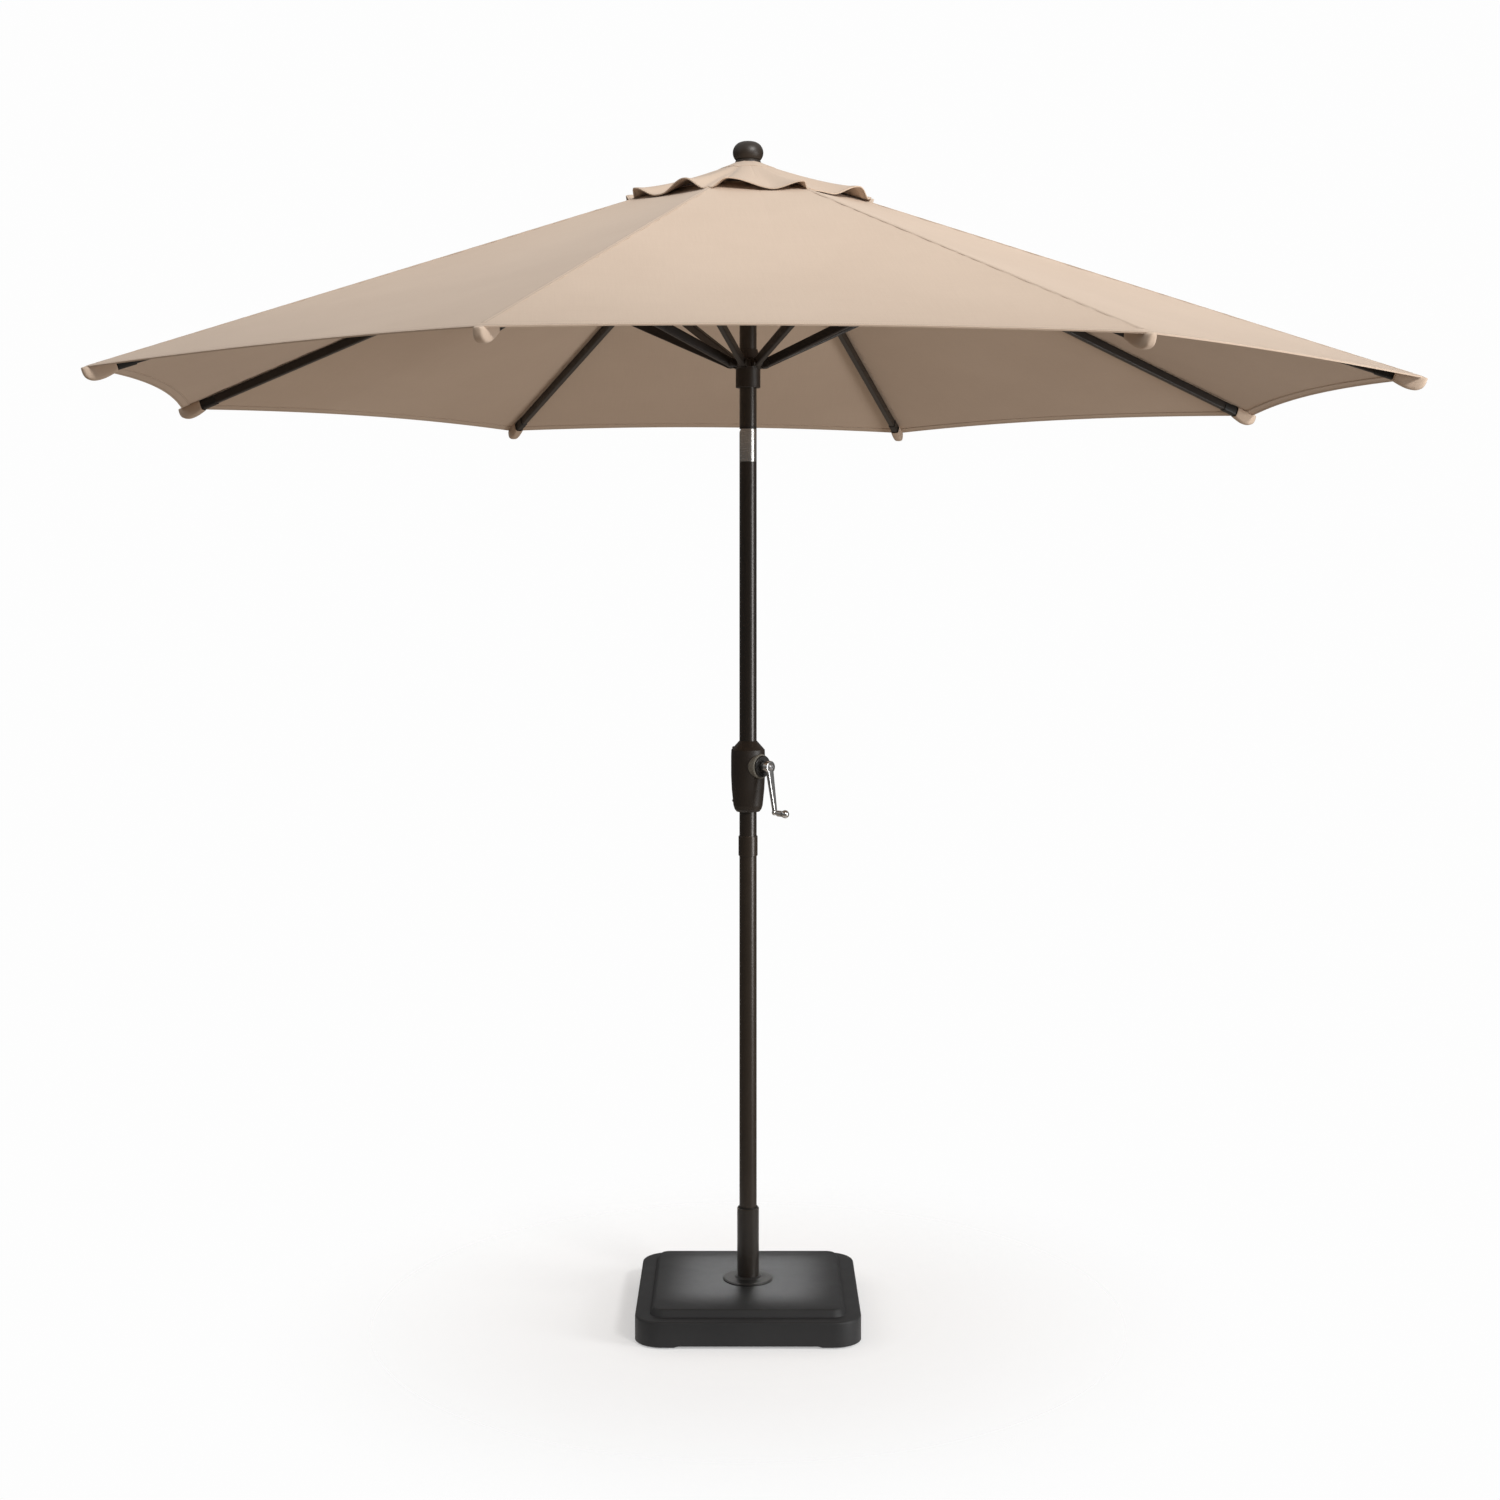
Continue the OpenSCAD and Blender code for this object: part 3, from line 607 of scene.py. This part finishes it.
def canopy_rho(t, w):
    """Radius, measured on the ribs, t of the way from the vent hole to the curved rim."""
    return HOLE_R + (TIP_R - RIM_CURVE * bay(w) - HOLE_R) * t


def canopy_point(k, t, w, lift):
    """t runs from the vent hole to the rim, and w from -1 to 1 across the sector of rib k."""
    rho = canopy_rho(t, w)
    sunk = SINK * math.sin(math.pi * t) * bay(w)
    return around(rho, w, rib_turn(k), seam_height(rho) - sunk + lift)


def panel_uv(rho, w):
    """Metres across and down the panel, measured from the panel's own middle line."""
    side = 1 if w >= 0 else -1
    across = rho * math.sin(HALF_TURN) * (abs(w) - 1) * side
    return (across, rho * math.cos(HALF_TURN) / math.cos(SLOPE) + 3 * side)


print("canopy: hinge ring", round(HINGE_R, 4), "tips", TIP_R, "rib length", round(RIB_LENGTH, 4))

# %% [markdown]
# ## Cloth from a grid of points
# A sheet is a grid of points with a second grid a cloth's thickness below, closed round the edge. Built
# this way it has an even UV map, and the stitched strips can follow the same points.

# %% Sheet builder
CLOTH = 0.0008


def set_outward(piece):
    """Turns all faces outwards, as a closed shell has them."""
    select_only(piece)
    bpy.ops.object.mode_set(mode="EDIT")
    bpy.ops.mesh.select_all(action="SELECT")
    bpy.ops.mesh.normals_make_consistent(inside=False)
    bpy.ops.object.mode_set(mode="OBJECT")


def sheet_of(name, rows, cols, top, uv, thickness, finish):
    """A closed thin sheet: top(i, j) is its upper side, and its thickness is taken off below."""
    upper = [[top(i, j) for j in range(cols + 1)] for i in range(rows + 1)]

    def normal(i, j):
        down = upper[min(i + 1, rows)][j] - upper[max(i - 1, 0)][j]
        across = upper[i][min(j + 1, cols)] - upper[i][max(j - 1, 0)]
        flat = down.cross(across)
        return flat.normalized() if flat.length > 0 else Vector((0, 0, 1))

    points, uvs = [], []
    for i in range(rows + 1):
        for j in range(cols + 1):
            points.append(upper[i][j])
            uvs.append(uv(i, j))
    count = len(points)
    for i in range(rows + 1):
        for j in range(cols + 1):
            points.append(upper[i][j] - normal(i, j) * thickness)
            uvs.append(uv(i, j))

    def at(i, j):
        return i * (cols + 1) + j

    faces = []
    for i in range(rows):
        for j in range(cols):
            a, b, c, d = at(i, j), at(i + 1, j), at(i + 1, j + 1), at(i, j + 1)
            faces.append((a, b, c, d))
            faces.append((d + count, c + count, b + count, a + count))
    for i in range(rows):
        for j, flip in ((0, True), (cols, False)):
            a, b = at(i, j), at(i + 1, j)
            wall = (a, b, b + count, a + count)
            faces.append(tuple(reversed(wall)) if flip else wall)
    for j in range(cols):
        for i, flip in ((0, False), (rows, True)):
            a, b = at(i, j), at(i, j + 1)
            wall = (a, b, b + count, a + count)
            faces.append(tuple(reversed(wall)) if flip else wall)
    mesh = bpy.data.meshes.new(name)
    mesh.from_pydata([tuple(p) for p in points], [], faces)
    layer = mesh.uv_layers.new(name="cloth")
    for loop in mesh.loops:
        layer.data[loop.index].uv = uvs[loop.vertex_index]
    mesh.materials.append(finish)
    piece = bpy.data.objects.new(name, mesh)
    bpy.context.scene.collection.objects.link(piece)
    set_outward(piece)
    smooth(piece, 40)
    return piece


print("sheet builder ready, cloth", 1000 * CLOTH, "mm thick")


# %% [markdown]
# ## The canopy's sectors
# Each sector reaches from the middle of one panel over its rib to the middle of the next, so it can ride on
# the rib and still meet its neighbours without a step. When the umbrella closes, the real cloth falls in
# folds between the ribs. Near the top each sector is cut wider and tucked under its neighbours, so that the
# folded cloth has no gaps.

# %% Canopy sectors
ROWS, HALF = 64, 18
CLOTH_LIFT = 0.0009
CANOPY_FLAP = (0.40, 0.40, 1.7)


def spaced(j):
    """Columns that lie closer together over the rib."""
    s = (j - HALF) / HALF
    return math.copysign(abs(s) ** 1.35, s)


def tucked(w):
    """How far a sheet lies below its neighbour where it is tucked under it."""
    return 0.0013 * min(1.0, max(0.0, abs(w) - 1) / 0.05)


def wider(s, reach, fall, most):
    """How many times as wide as its sector a sheet is cut: most at the top, falling to 1 at reach."""
    return 1 + (most - 1) * min(1.0, max(0.0, (reach - s) / fall))


def tight(k, t, w):
    """Faint puckers beside the seam, where the thread draws the canvas in."""
    away = abs(w) * (HOLE_R + (TIP_R - HOLE_R) * t) * 0.354
    near_seam = math.exp(-((away - 0.012) / 0.012) ** 2)
    return 0.0006 * math.sin(t * 118 + k * 1.7 + 2 * math.sin(t * 23)) * near_seam


def sector_place(i, j):
    """Share of the way down and across, for a row and a column of a canopy sector."""
    t = i / ROWS
    return t, spaced(j) * wider(t, *CANOPY_FLAP)


def sector_uv(i, j):
    t, w = sector_place(i, j)
    return panel_uv(canopy_rho(t, w), w)


sectors = {}
for k in range(1, 9):
    def sector_top(i, j, k=k):
        t, w = sector_place(i, j)
        return canopy_point(k, t, w, CLOTH_LIFT + tight(k, t, w) - tucked(w))

    sectors[k] = sheet_of(
        f"canopy_sector_{k}", ROWS, 2 * HALF, sector_top, sector_uv, CLOTH, canopy_cloth
    )
report(sectors[1])

# %% [markdown]
# ## Hem, seam and pocket
# The rim is turned over twice and stitched, which makes a band 22 mm wide and three cloths thick. The
# panels are joined over each rib by a flat seam with two rows of stitches, and a wider tape below it keeps
# the cloth off the rib. At each tip a sewn pocket slips over the end of the rib and holds the canopy out.

# %% Hems and seams
HEM, HEM_ROWS, HEM_HALF = 0.022, 4, 24
SEAM_HALF, SEAM_ROWS = 0.0062, 90
TAPE_HALF, TAPE_ROWS = 0.0145, 60


def hem_uv(i, j):
    return (TIP_R * HALF_SINE * (j / HEM_HALF - 1), HEM * (1 - i / HEM_ROWS))


def seam_uv(i, j):
    return ((TIP_R - HOLE_R) * i / SEAM_ROWS, SEAM_HALF * (j - 3) / 3)


def tape_uv(i, j):
    return (TAPE_HALF * (j - 4) / 4, 1.08 * i / TAPE_ROWS)


hems, seams = {}, {}
for k in range(1, 9):
    def hem_top(i, j, k=k):
        w = -1 + j / HEM_HALF
        rho = TIP_R - RIM_CURVE * bay(w) + 0.0006 - HEM * (1 - i / HEM_ROWS)
        swell = (0.0011, 0.0015, 0.0017, 0.0016, 0.0007)[i]
        return around(rho, w, rib_turn(k), seam_height(rho) + swell)

    def seam_top(i, j, k=k):
        rho = HOLE_R + 0.004 + (TIP_R - HEM - 0.002 - HOLE_R) * i / SEAM_ROWS
        crown = (0.0, 0.0003, 0.0004, 0.0005, 0.0004, 0.0003, 0.0)[j]
        height = seam_height(rho) + 0.0011 + crown + 0.0001 * math.sin(i * 2.1 + k)
        return beside_rib(k, rho, SEAM_HALF * (j - 3) / 3, height)

    def tape_top(i, j, k=k):
        rho = HOLE_R + 0.006 + (TIP_R - 0.075 - HOLE_R) * i / TAPE_ROWS
        y = TAPE_HALF * (j - 4) / 4
        droop = 0.147 * max(0.0, abs(y) - 0.002)
        return beside_rib(k, rho, y, seam_height(rho) - 0.0003 - droop)

    hems[k] = sheet_of(f"canopy_hem_{k}", HEM_ROWS, 2 * HEM_HALF, hem_top, hem_uv, 0.0026, hem_cloth)
    seams[k] = sheet_of(f"canopy_seam_{k}", SEAM_ROWS, 6, seam_top, seam_uv, 0.0007, seam_cloth)
    tape = sheet_of(f"seam_tape_{k}", TAPE_ROWS, 8, tape_top, tape_uv, 0.0006, canopy_cloth)
    select_only(seams[k])
    tape.select_set(True)
    bpy.ops.object.join()
report(hems[1])
report(seams[1])

# %% [markdown]
# A pocket is a small sleeve, open towards the hub and rounded off at the tip, and it hangs a little below
# the rib. It is made once, in the rib's own frame, and copied to all eight ribs.

# %% Rib pockets
POCKET = 0.058
POCKET_HALF, POCKET_HIGH, POCKET_LOW = 0.0108, 0.0122, -0.0135
POCKET_WALL = 0.0011


def pocket_shape():
    """Rings of a rounded square down the rib, closed at the tip. The wall is given by Solidify."""
    rings, around_count = 12, 24
    points, faces, uvs = [], [], []
    for i in range(rings + 1):
        s = i / rings
        x = RIB_LENGTH - POCKET + (POCKET + 0.003) * (1 - (1 - s) ** 1.3)
        close = math.sqrt(max(0.0, 1 - max(0.0, (s - 0.62) / 0.385) ** 2.2))
        half_w = POCKET_HALF * (0.35 + 0.65 * close) * (1 + 0.07 * math.cos(s * math.pi))
        belly = 0.0055 * math.sin(math.pi * min(1, s * 1.15)) * close
        low = POCKET_LOW - belly + 0.017 * (1 - close)
        for j in range(around_count):
            a = 2 * math.pi * j / around_count
            c, d = math.cos(a), math.sin(a)
            y = half_w * math.copysign(abs(c) ** 0.55, c)
            z = (POCKET_HIGH + low) / 2 + (POCKET_HIGH - low) / 2 * math.copysign(abs(d) ** 0.55, d)
            points.append((x, y, z))
            uvs.append((x, a * 0.011))
    for i in range(rings):
        for j in range(around_count):
            a, b = i * around_count + j, i * around_count + (j + 1) % around_count
            faces.append((a, b, b + around_count, a + around_count))
    faces.append(tuple(rings * around_count + j for j in reversed(range(around_count))))
    mesh = bpy.data.meshes.new("rib_pocket")
    mesh.from_pydata(points, [], faces)
    layer = mesh.uv_layers.new(name="cloth")
    for loop in mesh.loops:
        layer.data[loop.index].uv = uvs[loop.vertex_index]
    mesh.materials.append(canopy_cloth)
    piece = bpy.data.objects.new("rib_pocket", mesh)
    bpy.context.scene.collection.objects.link(piece)
    set_outward(piece)
    select_only(piece)
    wall = piece.modifiers.new("wall", "SOLIDIFY")
    wall.thickness = POCKET_WALL
    wall.offset = -1
    bpy.ops.object.modifier_apply(modifier="wall")
    rounder = piece.modifiers.new("rounder", "SUBSURF")
    rounder.levels = rounder.render_levels = 1
    bpy.ops.object.modifier_apply(modifier="rounder")
    smooth(piece, 60)
    return piece


first_pocket = pocket_shape()
pockets = {}
for k in range(1, 9):
    pockets[k] = copy_of(first_pocket, f"rib_pocket_{k}")
    set_down(pockets[k], rib_place(k))
bpy.data.objects.remove(first_pocket)
report(pockets[1])

# %% [markdown]
# ## Rib end sleeves
# Just before the pocket a short plastic sleeve is pushed over the rib. It is a box with its long edges
# bevelled, and its two ends are drawn in a little, as a moulded sleeve has them.

# %% Rib end sleeves
SLEEVE = (0.034, 0.0172, 0.0228)


def sleeve_shape():
    """A bevelled box on the rib's middle line, with its ends drawn in."""
    middle = RIB_LENGTH - POCKET - SLEEVE[0] / 2 - 0.002
    piece = start_box("rib_sleeve", SLEEVE, (middle, 0, -0.0002))
    pick(piece, "EDGE", lambda e: abs(e.verts[0].co.x - e.verts[1].co.x) > 0.02)
    bpy.ops.mesh.bevel(offset=0.0045, segments=4, affect="EDGES")
    pick(piece, "FACE", lambda f: abs(f.normal.x) > 0.9)
    bpy.ops.mesh.inset(thickness=0.0008, depth=0.0006, use_individual=True)
    bpy.ops.object.mode_set(mode="OBJECT")
    smooth(piece, 40)
    piece.data.materials.append(plastic_black)
    return piece


first_sleeve = sleeve_shape()
sleeves = {}
for k in range(1, 9):
    sleeves[k] = copy_of(first_sleeve, f"rib_sleeve_{k}")
    set_down(sleeves[k], rib_place(k))
bpy.data.objects.remove(first_sleeve)
report(sleeves[1])

# %% [markdown]
# ## The vent cap
# A small second canopy covers the hole at the top and lets the wind out under its hem. It is held down only
# at the ribs and is cut a little full, so between two ribs its hem stands up in waves and dips back to the
# canopy. The waves are strongest at the hem and die out towards the finial. Over the ribs the cap never
# sinks below the canopy's seams. First come the functions for its shape.

# %% Shape of the vent cap
VENT_TOP = HINGE_Z + 0.0275
VENT_IN = 0.0255


def lobe(u, centre, before, after, height):
    """One smooth hump, with its own reach before and after its top."""
    reach = before if u < centre else after
    return height * 0.5 * (1 + math.cos(math.pi * min(1.0, abs(u - centre) / reach)))


def hem_wave(gore, u):
    """How far the hem stands off the canopy, u of the way round the gore between rib gore and the next."""
    if gore == 1:
        humps = [(0.20, 0.18, 0.46, 0.0195), (0.92, 0.30, 0.075, 0.0155)]
    elif gore == 8:
        humps = [(0.10, 0.10, 0.25, 0.019), (0.74, 0.34, 0.24, 0.0235)]
    elif gore == 2:
        humps = [(0.70, 0.38, 0.25, 0.0235), (0.95, 0.08, 0.045, 0.009)]
    else:
        humps = [
            (0.24 + 0.05 * math.sin(2.3 * gore), 0.18, 0.34, 0.019 + 0.004 * math.sin(1.7 * gore)),
            (0.82 + 0.03 * math.cos(3.1 * gore), 0.26, 0.14, 0.017 + 0.004 * math.cos(2.2 * gore)),
        ]
    return sum(lobe(u, *hump) for hump in humps)


def vent_rho(s):
    """Radius, measured on the ribs, s of the way from the finial to the hem."""
    return VENT_IN + (VENT_R - VENT_IN) * s


def vent_point(k, s, w, lift):
    """s runs from the finial to the hem, w across the sector of rib k."""
    gore, u = (k, w / 2) if w >= 0 else ((k - 2) % 8 + 1, 1 + w / 2)
    corner = 0.012 * s * s * max(0.0, 1 - abs(w) / 0.24) ** 2
    rho = vent_rho(s) - corner
    hem_z = seam_height(VENT_R) + 0.0030
    straight = VENT_TOP + (hem_z - VENT_TOP) * (1 - max(0.0, 1 - s) ** 1.22)
    wave = hem_wave(gore, u) * s ** 1.8
    full = 0.006 * math.sin(math.pi * s) * bay(w)
    out = 1 + 1.5 * wave * s
    over_rib = seam_height(rho) + 0.0024 - 0.10 * max(0.0, abs(w) * rho * HALF_TAN - 0.010)
    return around(rho * out, w, rib_turn(k), max(straight + wave + full, over_rib) + lift)


print("vent cap: from", VENT_IN, "to", VENT_R, "m, top at", round(VENT_TOP, 4))

# %% [markdown]
# The vent cap's eight sectors are centred on the ribs, as the canopy's are, and cut wider and tucked near
# the top in the same way. Each has a turned and stitched hem of its own.

# %% Vent sectors and hems
VENT_ROWS, VENT_HALF = 22, 22
VENT_FROM = 0.045
VENT_FLAP = (0.60, 0.35, 1.9)


def vent_place(i, j):
    """Share of the way down and across, for a row and a column of a vent sector."""
    first = (VENT_FROM - VENT_IN) / (VENT_R - VENT_IN)
    s = first + (1 - first) * i / VENT_ROWS
    return s, (j - VENT_HALF) / VENT_HALF * wider(s, *VENT_FLAP)


def vent_uv(i, j):
    s, w = vent_place(i, j)
    return panel_uv(vent_rho(s), w)


def vent_hem_uv(i, j):
    return (0.104 * (j - VENT_HALF) / VENT_HALF, 0.016 * (1 - i / HEM_ROWS))


vents, vent_hems = {}, {}
for k in range(1, 9):
    def vent_top(i, j, k=k):
        s, w = vent_place(i, j)
        return vent_point(k, s, w, CLOTH_LIFT - tucked(w))

    def vent_hem_top(i, j, k=k):
        lift = (0.0009, 0.0015, 0.0017, 0.0015, 0.0008)[i]
        return vent_point(k, 1.002 - 0.058 * (1 - i / HEM_ROWS), (j - VENT_HALF) / VENT_HALF, lift)

    vents[k] = sheet_of(
        f"vent_sector_{k}", VENT_ROWS, 2 * VENT_HALF, vent_top, vent_uv, CLOTH, canopy_cloth
    )
    vent_hems[k] = sheet_of(
        f"vent_hem_{k}", HEM_ROWS, 2 * VENT_HALF, vent_hem_top, vent_hem_uv, 0.0022, hem_cloth
    )
report(vents[1])
report(vent_hems[1])

# %% [markdown]
# The middle of the vent cap is a round patch that the finial clamps down. It stays on the pole when the
# sectors fold, and covers their upper ends.

# %% Crown patch
CROWN_R, CROWN_ROWS, CROWN_STEPS = 0.068, 6, 64


def crown_top(i, j):
    ribs_round = 8 * (j % CROWN_STEPS) / CROWN_STEPS
    s = (CROWN_R - VENT_IN) / (VENT_R - VENT_IN) * i / CROWN_ROWS
    lift = 0.0018 if i == CROWN_ROWS else 0.0021
    return vent_point(int(ribs_round) + 1, s, 2 * (ribs_round % 1), lift)


def crown_uv(i, j):
    rho = VENT_IN + (CROWN_R - VENT_IN) * i / CROWN_ROWS
    angle = 2 * math.pi * j / CROWN_STEPS
    return (rho * math.cos(angle), rho * math.sin(angle))


crown = sheet_of("vent_crown", CROWN_ROWS, CROWN_STEPS, crown_top, crown_uv, CLOTH, canopy_cloth)
report(crown)

# %% [markdown]
# ## The base
# The base is a heavy square shell moulded in resin, with round corners, a flat ledge, and a raised middle
# on a sloping step. It starts as a box. The upright edges are bevelled to the corner radius, the top is
# inset twice for ledge and step, and the edges that a mould rounds are bevelled last. The low edge is
# lifted between the corners.

# %% Base shell
SIDE, EDGE_LOW, EDGE_TOP, MIDDLE = 0.455, 0.003, 0.053, 0.067
CORNER, LEDGE, STEP = 0.058, 0.030, 0.008
FOOT_IN, FOOT_OUT = 0.139, 0.1475
base = start_box("base_cover", (SIDE, SIDE, EDGE_TOP - EDGE_LOW), (0, 0, (EDGE_TOP + EDGE_LOW) / 2))
pick(base, "EDGE", lambda e: abs(e.verts[0].co.z - e.verts[1].co.z) > 0.02)
bpy.ops.mesh.bevel(offset=CORNER, segments=14, affect="EDGES")
pick(base, "FACE", lambda f: f.normal.z > 0.9)
bpy.ops.mesh.inset(thickness=LEDGE)
bpy.ops.mesh.inset(thickness=STEP)
bpy.ops.transform.translate(value=(0, 0, MIDDLE - EDGE_TOP))
pick(base, "FACE", lambda f: f.normal.z < -0.9)
bpy.ops.mesh.inset(thickness=0.0034)
bpy.ops.mesh.extrude_region_move(TRANSFORM_OT_translate={"value": (0, 0, 0.0058)})
for place in (-FOOT_OUT, -FOOT_IN, FOOT_IN, FOOT_OUT):
    for axis in (0, 1):
        pick(base, "FACE", lambda f: True)
        at = [0, 0, 0]
        at[axis] = place
        way = [0, 0, 0]
        way[axis] = 1
        bpy.ops.mesh.bisect(plane_co=at, plane_no=way)
pick(base, "VERT", lambda v: v.co.z < EDGE_LOW + 0.0005 and min(abs(v.co.x), abs(v.co.y)) < FOOT_IN + 0.0005)
bpy.ops.transform.translate(value=(0, 0, 0.0025))


def is_top(face):
    return face.normal.z > 0.95


def is_side(face):
    return abs(face.normal.z) < 0.1


def is_step(face):
    return 0.1 < face.normal.z < 0.95


pick(base, "EDGE", lambda e: between(e, is_top, is_side))
bpy.ops.mesh.bevel(offset=0.0045, segments=4, affect="EDGES")
pick(base, "EDGE", lambda e: between(e, is_top, is_step) and e.verts[0].co.z > MIDDLE - 0.002)
bpy.ops.mesh.bevel(offset=0.003, segments=3, affect="EDGES")
bpy.ops.object.mode_set(mode="OBJECT")
smooth(base, 32)
base.data.materials.append(base_resin)
report(base)

# %% [markdown]
# ## The crank arm
# The crank is one polished casting: a round hub on the shaft, a flat arm that narrows towards the grip and
# leans out, and a small eye at its end. The hub and the eye start as round bars with their rims bevelled,
# the arm as a box whose far end is scaled down. They are joined into one piece and turned to the crank's
# direction.

# %% Crank arm
crank_joint = joints["crank_spin"]
crank_turn = math.atan2(crank_joint["axis"][1], crank_joint["axis"][0])
crank_place = Matrix.Translation(crank_joint["pos_m"]) @ Matrix.Rotation(crank_turn, 4, "Z")
THROW, HUB_IN, HUB_OUT, LEAN = 0.094, 0.0453, 0.066, math.radians(10)


def rounded_bar(name, radius, low, high, rim, centre=(0, 0), sides=48):
    """A round bar along X from low to high, with its two rims rounded."""
    piece = start_round(name, radius, high - low, ((low + high) / 2, *centre), sides)
    pick(piece, "EDGE", lambda e: abs(e.verts[0].co.x - e.verts[1].co.x) < 1e-5)
    bpy.ops.mesh.bevel(offset=rim, segments=4, affect="EDGES")
    bpy.ops.object.mode_set(mode="OBJECT")
    return piece


hub = rounded_bar("crank_casting", 0.0132, HUB_IN, HUB_OUT, 0.0022)
pick(hub, "VERT", lambda v: v.co.x < HUB_IN + 0.004)
bpy.ops.transform.resize(value=(1, 0.9, 0.9), center_override=(HUB_IN, 0, 0))
bpy.ops.object.mode_set(mode="OBJECT")
arm = start_box("crank_bar", (0.0082, 0.0185, THROW), (HUB_OUT - 0.0052, 0, -THROW / 2))
pick(arm, "VERT", lambda v: v.co.z < -0.05)
bpy.ops.transform.resize(value=(0.86, 0.56, 1), center_override=(HUB_OUT - 0.0052, 0, -THROW))
pick(arm, "EDGE", lambda e: abs(e.verts[0].co.z - e.verts[1].co.z) > 0.05)
bpy.ops.mesh.bevel(offset=0.0028, segments=4, affect="EDGES")
bpy.ops.object.mode_set(mode="OBJECT")
eye = rounded_bar("crank_eye", 0.0057, HUB_OUT - 0.0098, HUB_OUT - 0.0008, 0.0018, (0, -THROW), 32)
pivot = Vector((HUB_OUT - 0.005, 0, 0))
lean = Matrix.Translation(pivot) @ Matrix.Rotation(-LEAN, 4, "Y") @ Matrix.Translation(-pivot)
set_down(arm, lean)
set_down(eye, lean)
select_only(hub)
arm.select_set(True)
eye.select_set(True)
bpy.ops.object.join()
smooth(hub, 40)
hub.data.materials.append(polished_crank)
set_down(hub, crank_place)
report(hub)

# %% [markdown]
# ## What each piece rides on
# Canopy and vent sectors ride on their rib with their hems.
# Seams, pockets and sleeves are narrow and only ride. The crown patch stays with the upper pole. The pieces
# that are remade take the place of their plain counterparts in the frame.

# %% Ride and replace
CANOPY_KEEP, VENT_KEEP = 0.13, 0.46
for k in range(1, 9):
    drawn_in = (
        (sectors[k], CANOPY_KEEP), (hems[k], CANOPY_KEEP), (vents[k], VENT_KEEP), (vent_hems[k], VENT_KEEP),
    )
    for piece, keep in drawn_in:
        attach(piece, f"rib_arm_{k}")
        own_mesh(piece)
    for piece in (seams[k], pockets[k]):
        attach(piece, f"rib_arm_{k}")
    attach(sleeves[k], f"rib_arm_{k}")
    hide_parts(f"canopy_{k}")
    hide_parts("vent_cap")
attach(crown, "upper_mast")
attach(base, "base")
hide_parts("base_shell")
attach(hub, "crank")
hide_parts("crank_arm")
print("riding:", len(sectors) + len(hems) + len(vents) + len(vent_hems), "pieces that draw in")

# %% [markdown]
# The flat areas of the canopy's, the vent's and the crown's panels are added up from narrow strips across
# each panel, each strip as wide as the panel is cut there.

# %% Sheets
STRIPS = 60


def panel_area(inner, outer, drop, wide=lambda s: 1.0):
    """Area of the panel between two radii on the ribs, cut wide(s) times as wide on its way down."""
    depth = math.hypot((outer - inner) * math.cos(HALF_TURN), drop)
    shares = [(n + 0.5) / STRIPS for n in range(STRIPS)]
    radii = [(inner + (outer - inner) * share) * wide(share) for share in shares]
    return 2 * math.sin(HALF_TURN) * depth * sum(radii) / STRIPS


canopy_drop = (TIP_R - HOLE_R) * math.tan(SLOPE)
whole_panel = panel_area(HOLE_R, TIP_R, canopy_drop, lambda t: wider(t, *CANOPY_FLAP))
smooth_vent = panel_area(VENT_FROM, VENT_R, 0.086, lambda s: wider(0.08 + 0.92 * s, *VENT_FLAP))
crown_area = 8 * panel_area(VENT_IN, CROWN_R, 0.020)
for k in range(1, 9):
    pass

# %% [markdown]
# ## Floor
# A plain pale floor that only has to take the soft shadow of the base. It fades out with distance, so no
# horizon shows behind the umbrella.

# %% Floor
select_only(None)
bpy.ops.mesh.primitive_circle_add(vertices=96, radius=16, fill_type="NGON", location=(0, 0, 0))
floor = bpy.context.object
floor.name = "studio_floor"
floor_finish = Finish("pale_floor", 0.9, 0.0, Specular_IOR_Level=0.1)
reach = floor_finish.node("VectorMath", operation="LENGTH")
floor_finish.link(floor_finish.coordinates.outputs["Object"], reach.inputs[0])
fade = floor_finish.node("MapRange", interpolation_type="SMOOTHSTEP")
fade.inputs["From Min"].default_value = 0.2
fade.inputs["From Max"].default_value = 1.1
fade.inputs["To Min"].default_value = 0.9
fade.inputs["To Max"].default_value = 0.0
floor_finish.link(reach.outputs["Value"], fade.inputs["Value"])
floor_finish.link(fade.outputs["Result"], floor_finish.shader.inputs["Alpha"])
floor_finish.shader.inputs["Base Color"].default_value = (0.93, 0.93, 0.93, 1)
floor_finish.shader.inputs["Emission Color"].default_value = (1.0, 1.0, 1.0, 1)
floor_finish.shader.inputs["Emission Strength"].default_value = 0.28
floor.data.materials.append(floor_finish.material)
print("floor fades out", fade.inputs["From Max"].default_value, "m from the pole")

# %% [markdown]
# ## Finish
# At the end, nothing is left selected.

# %% Finish
select_only(None)
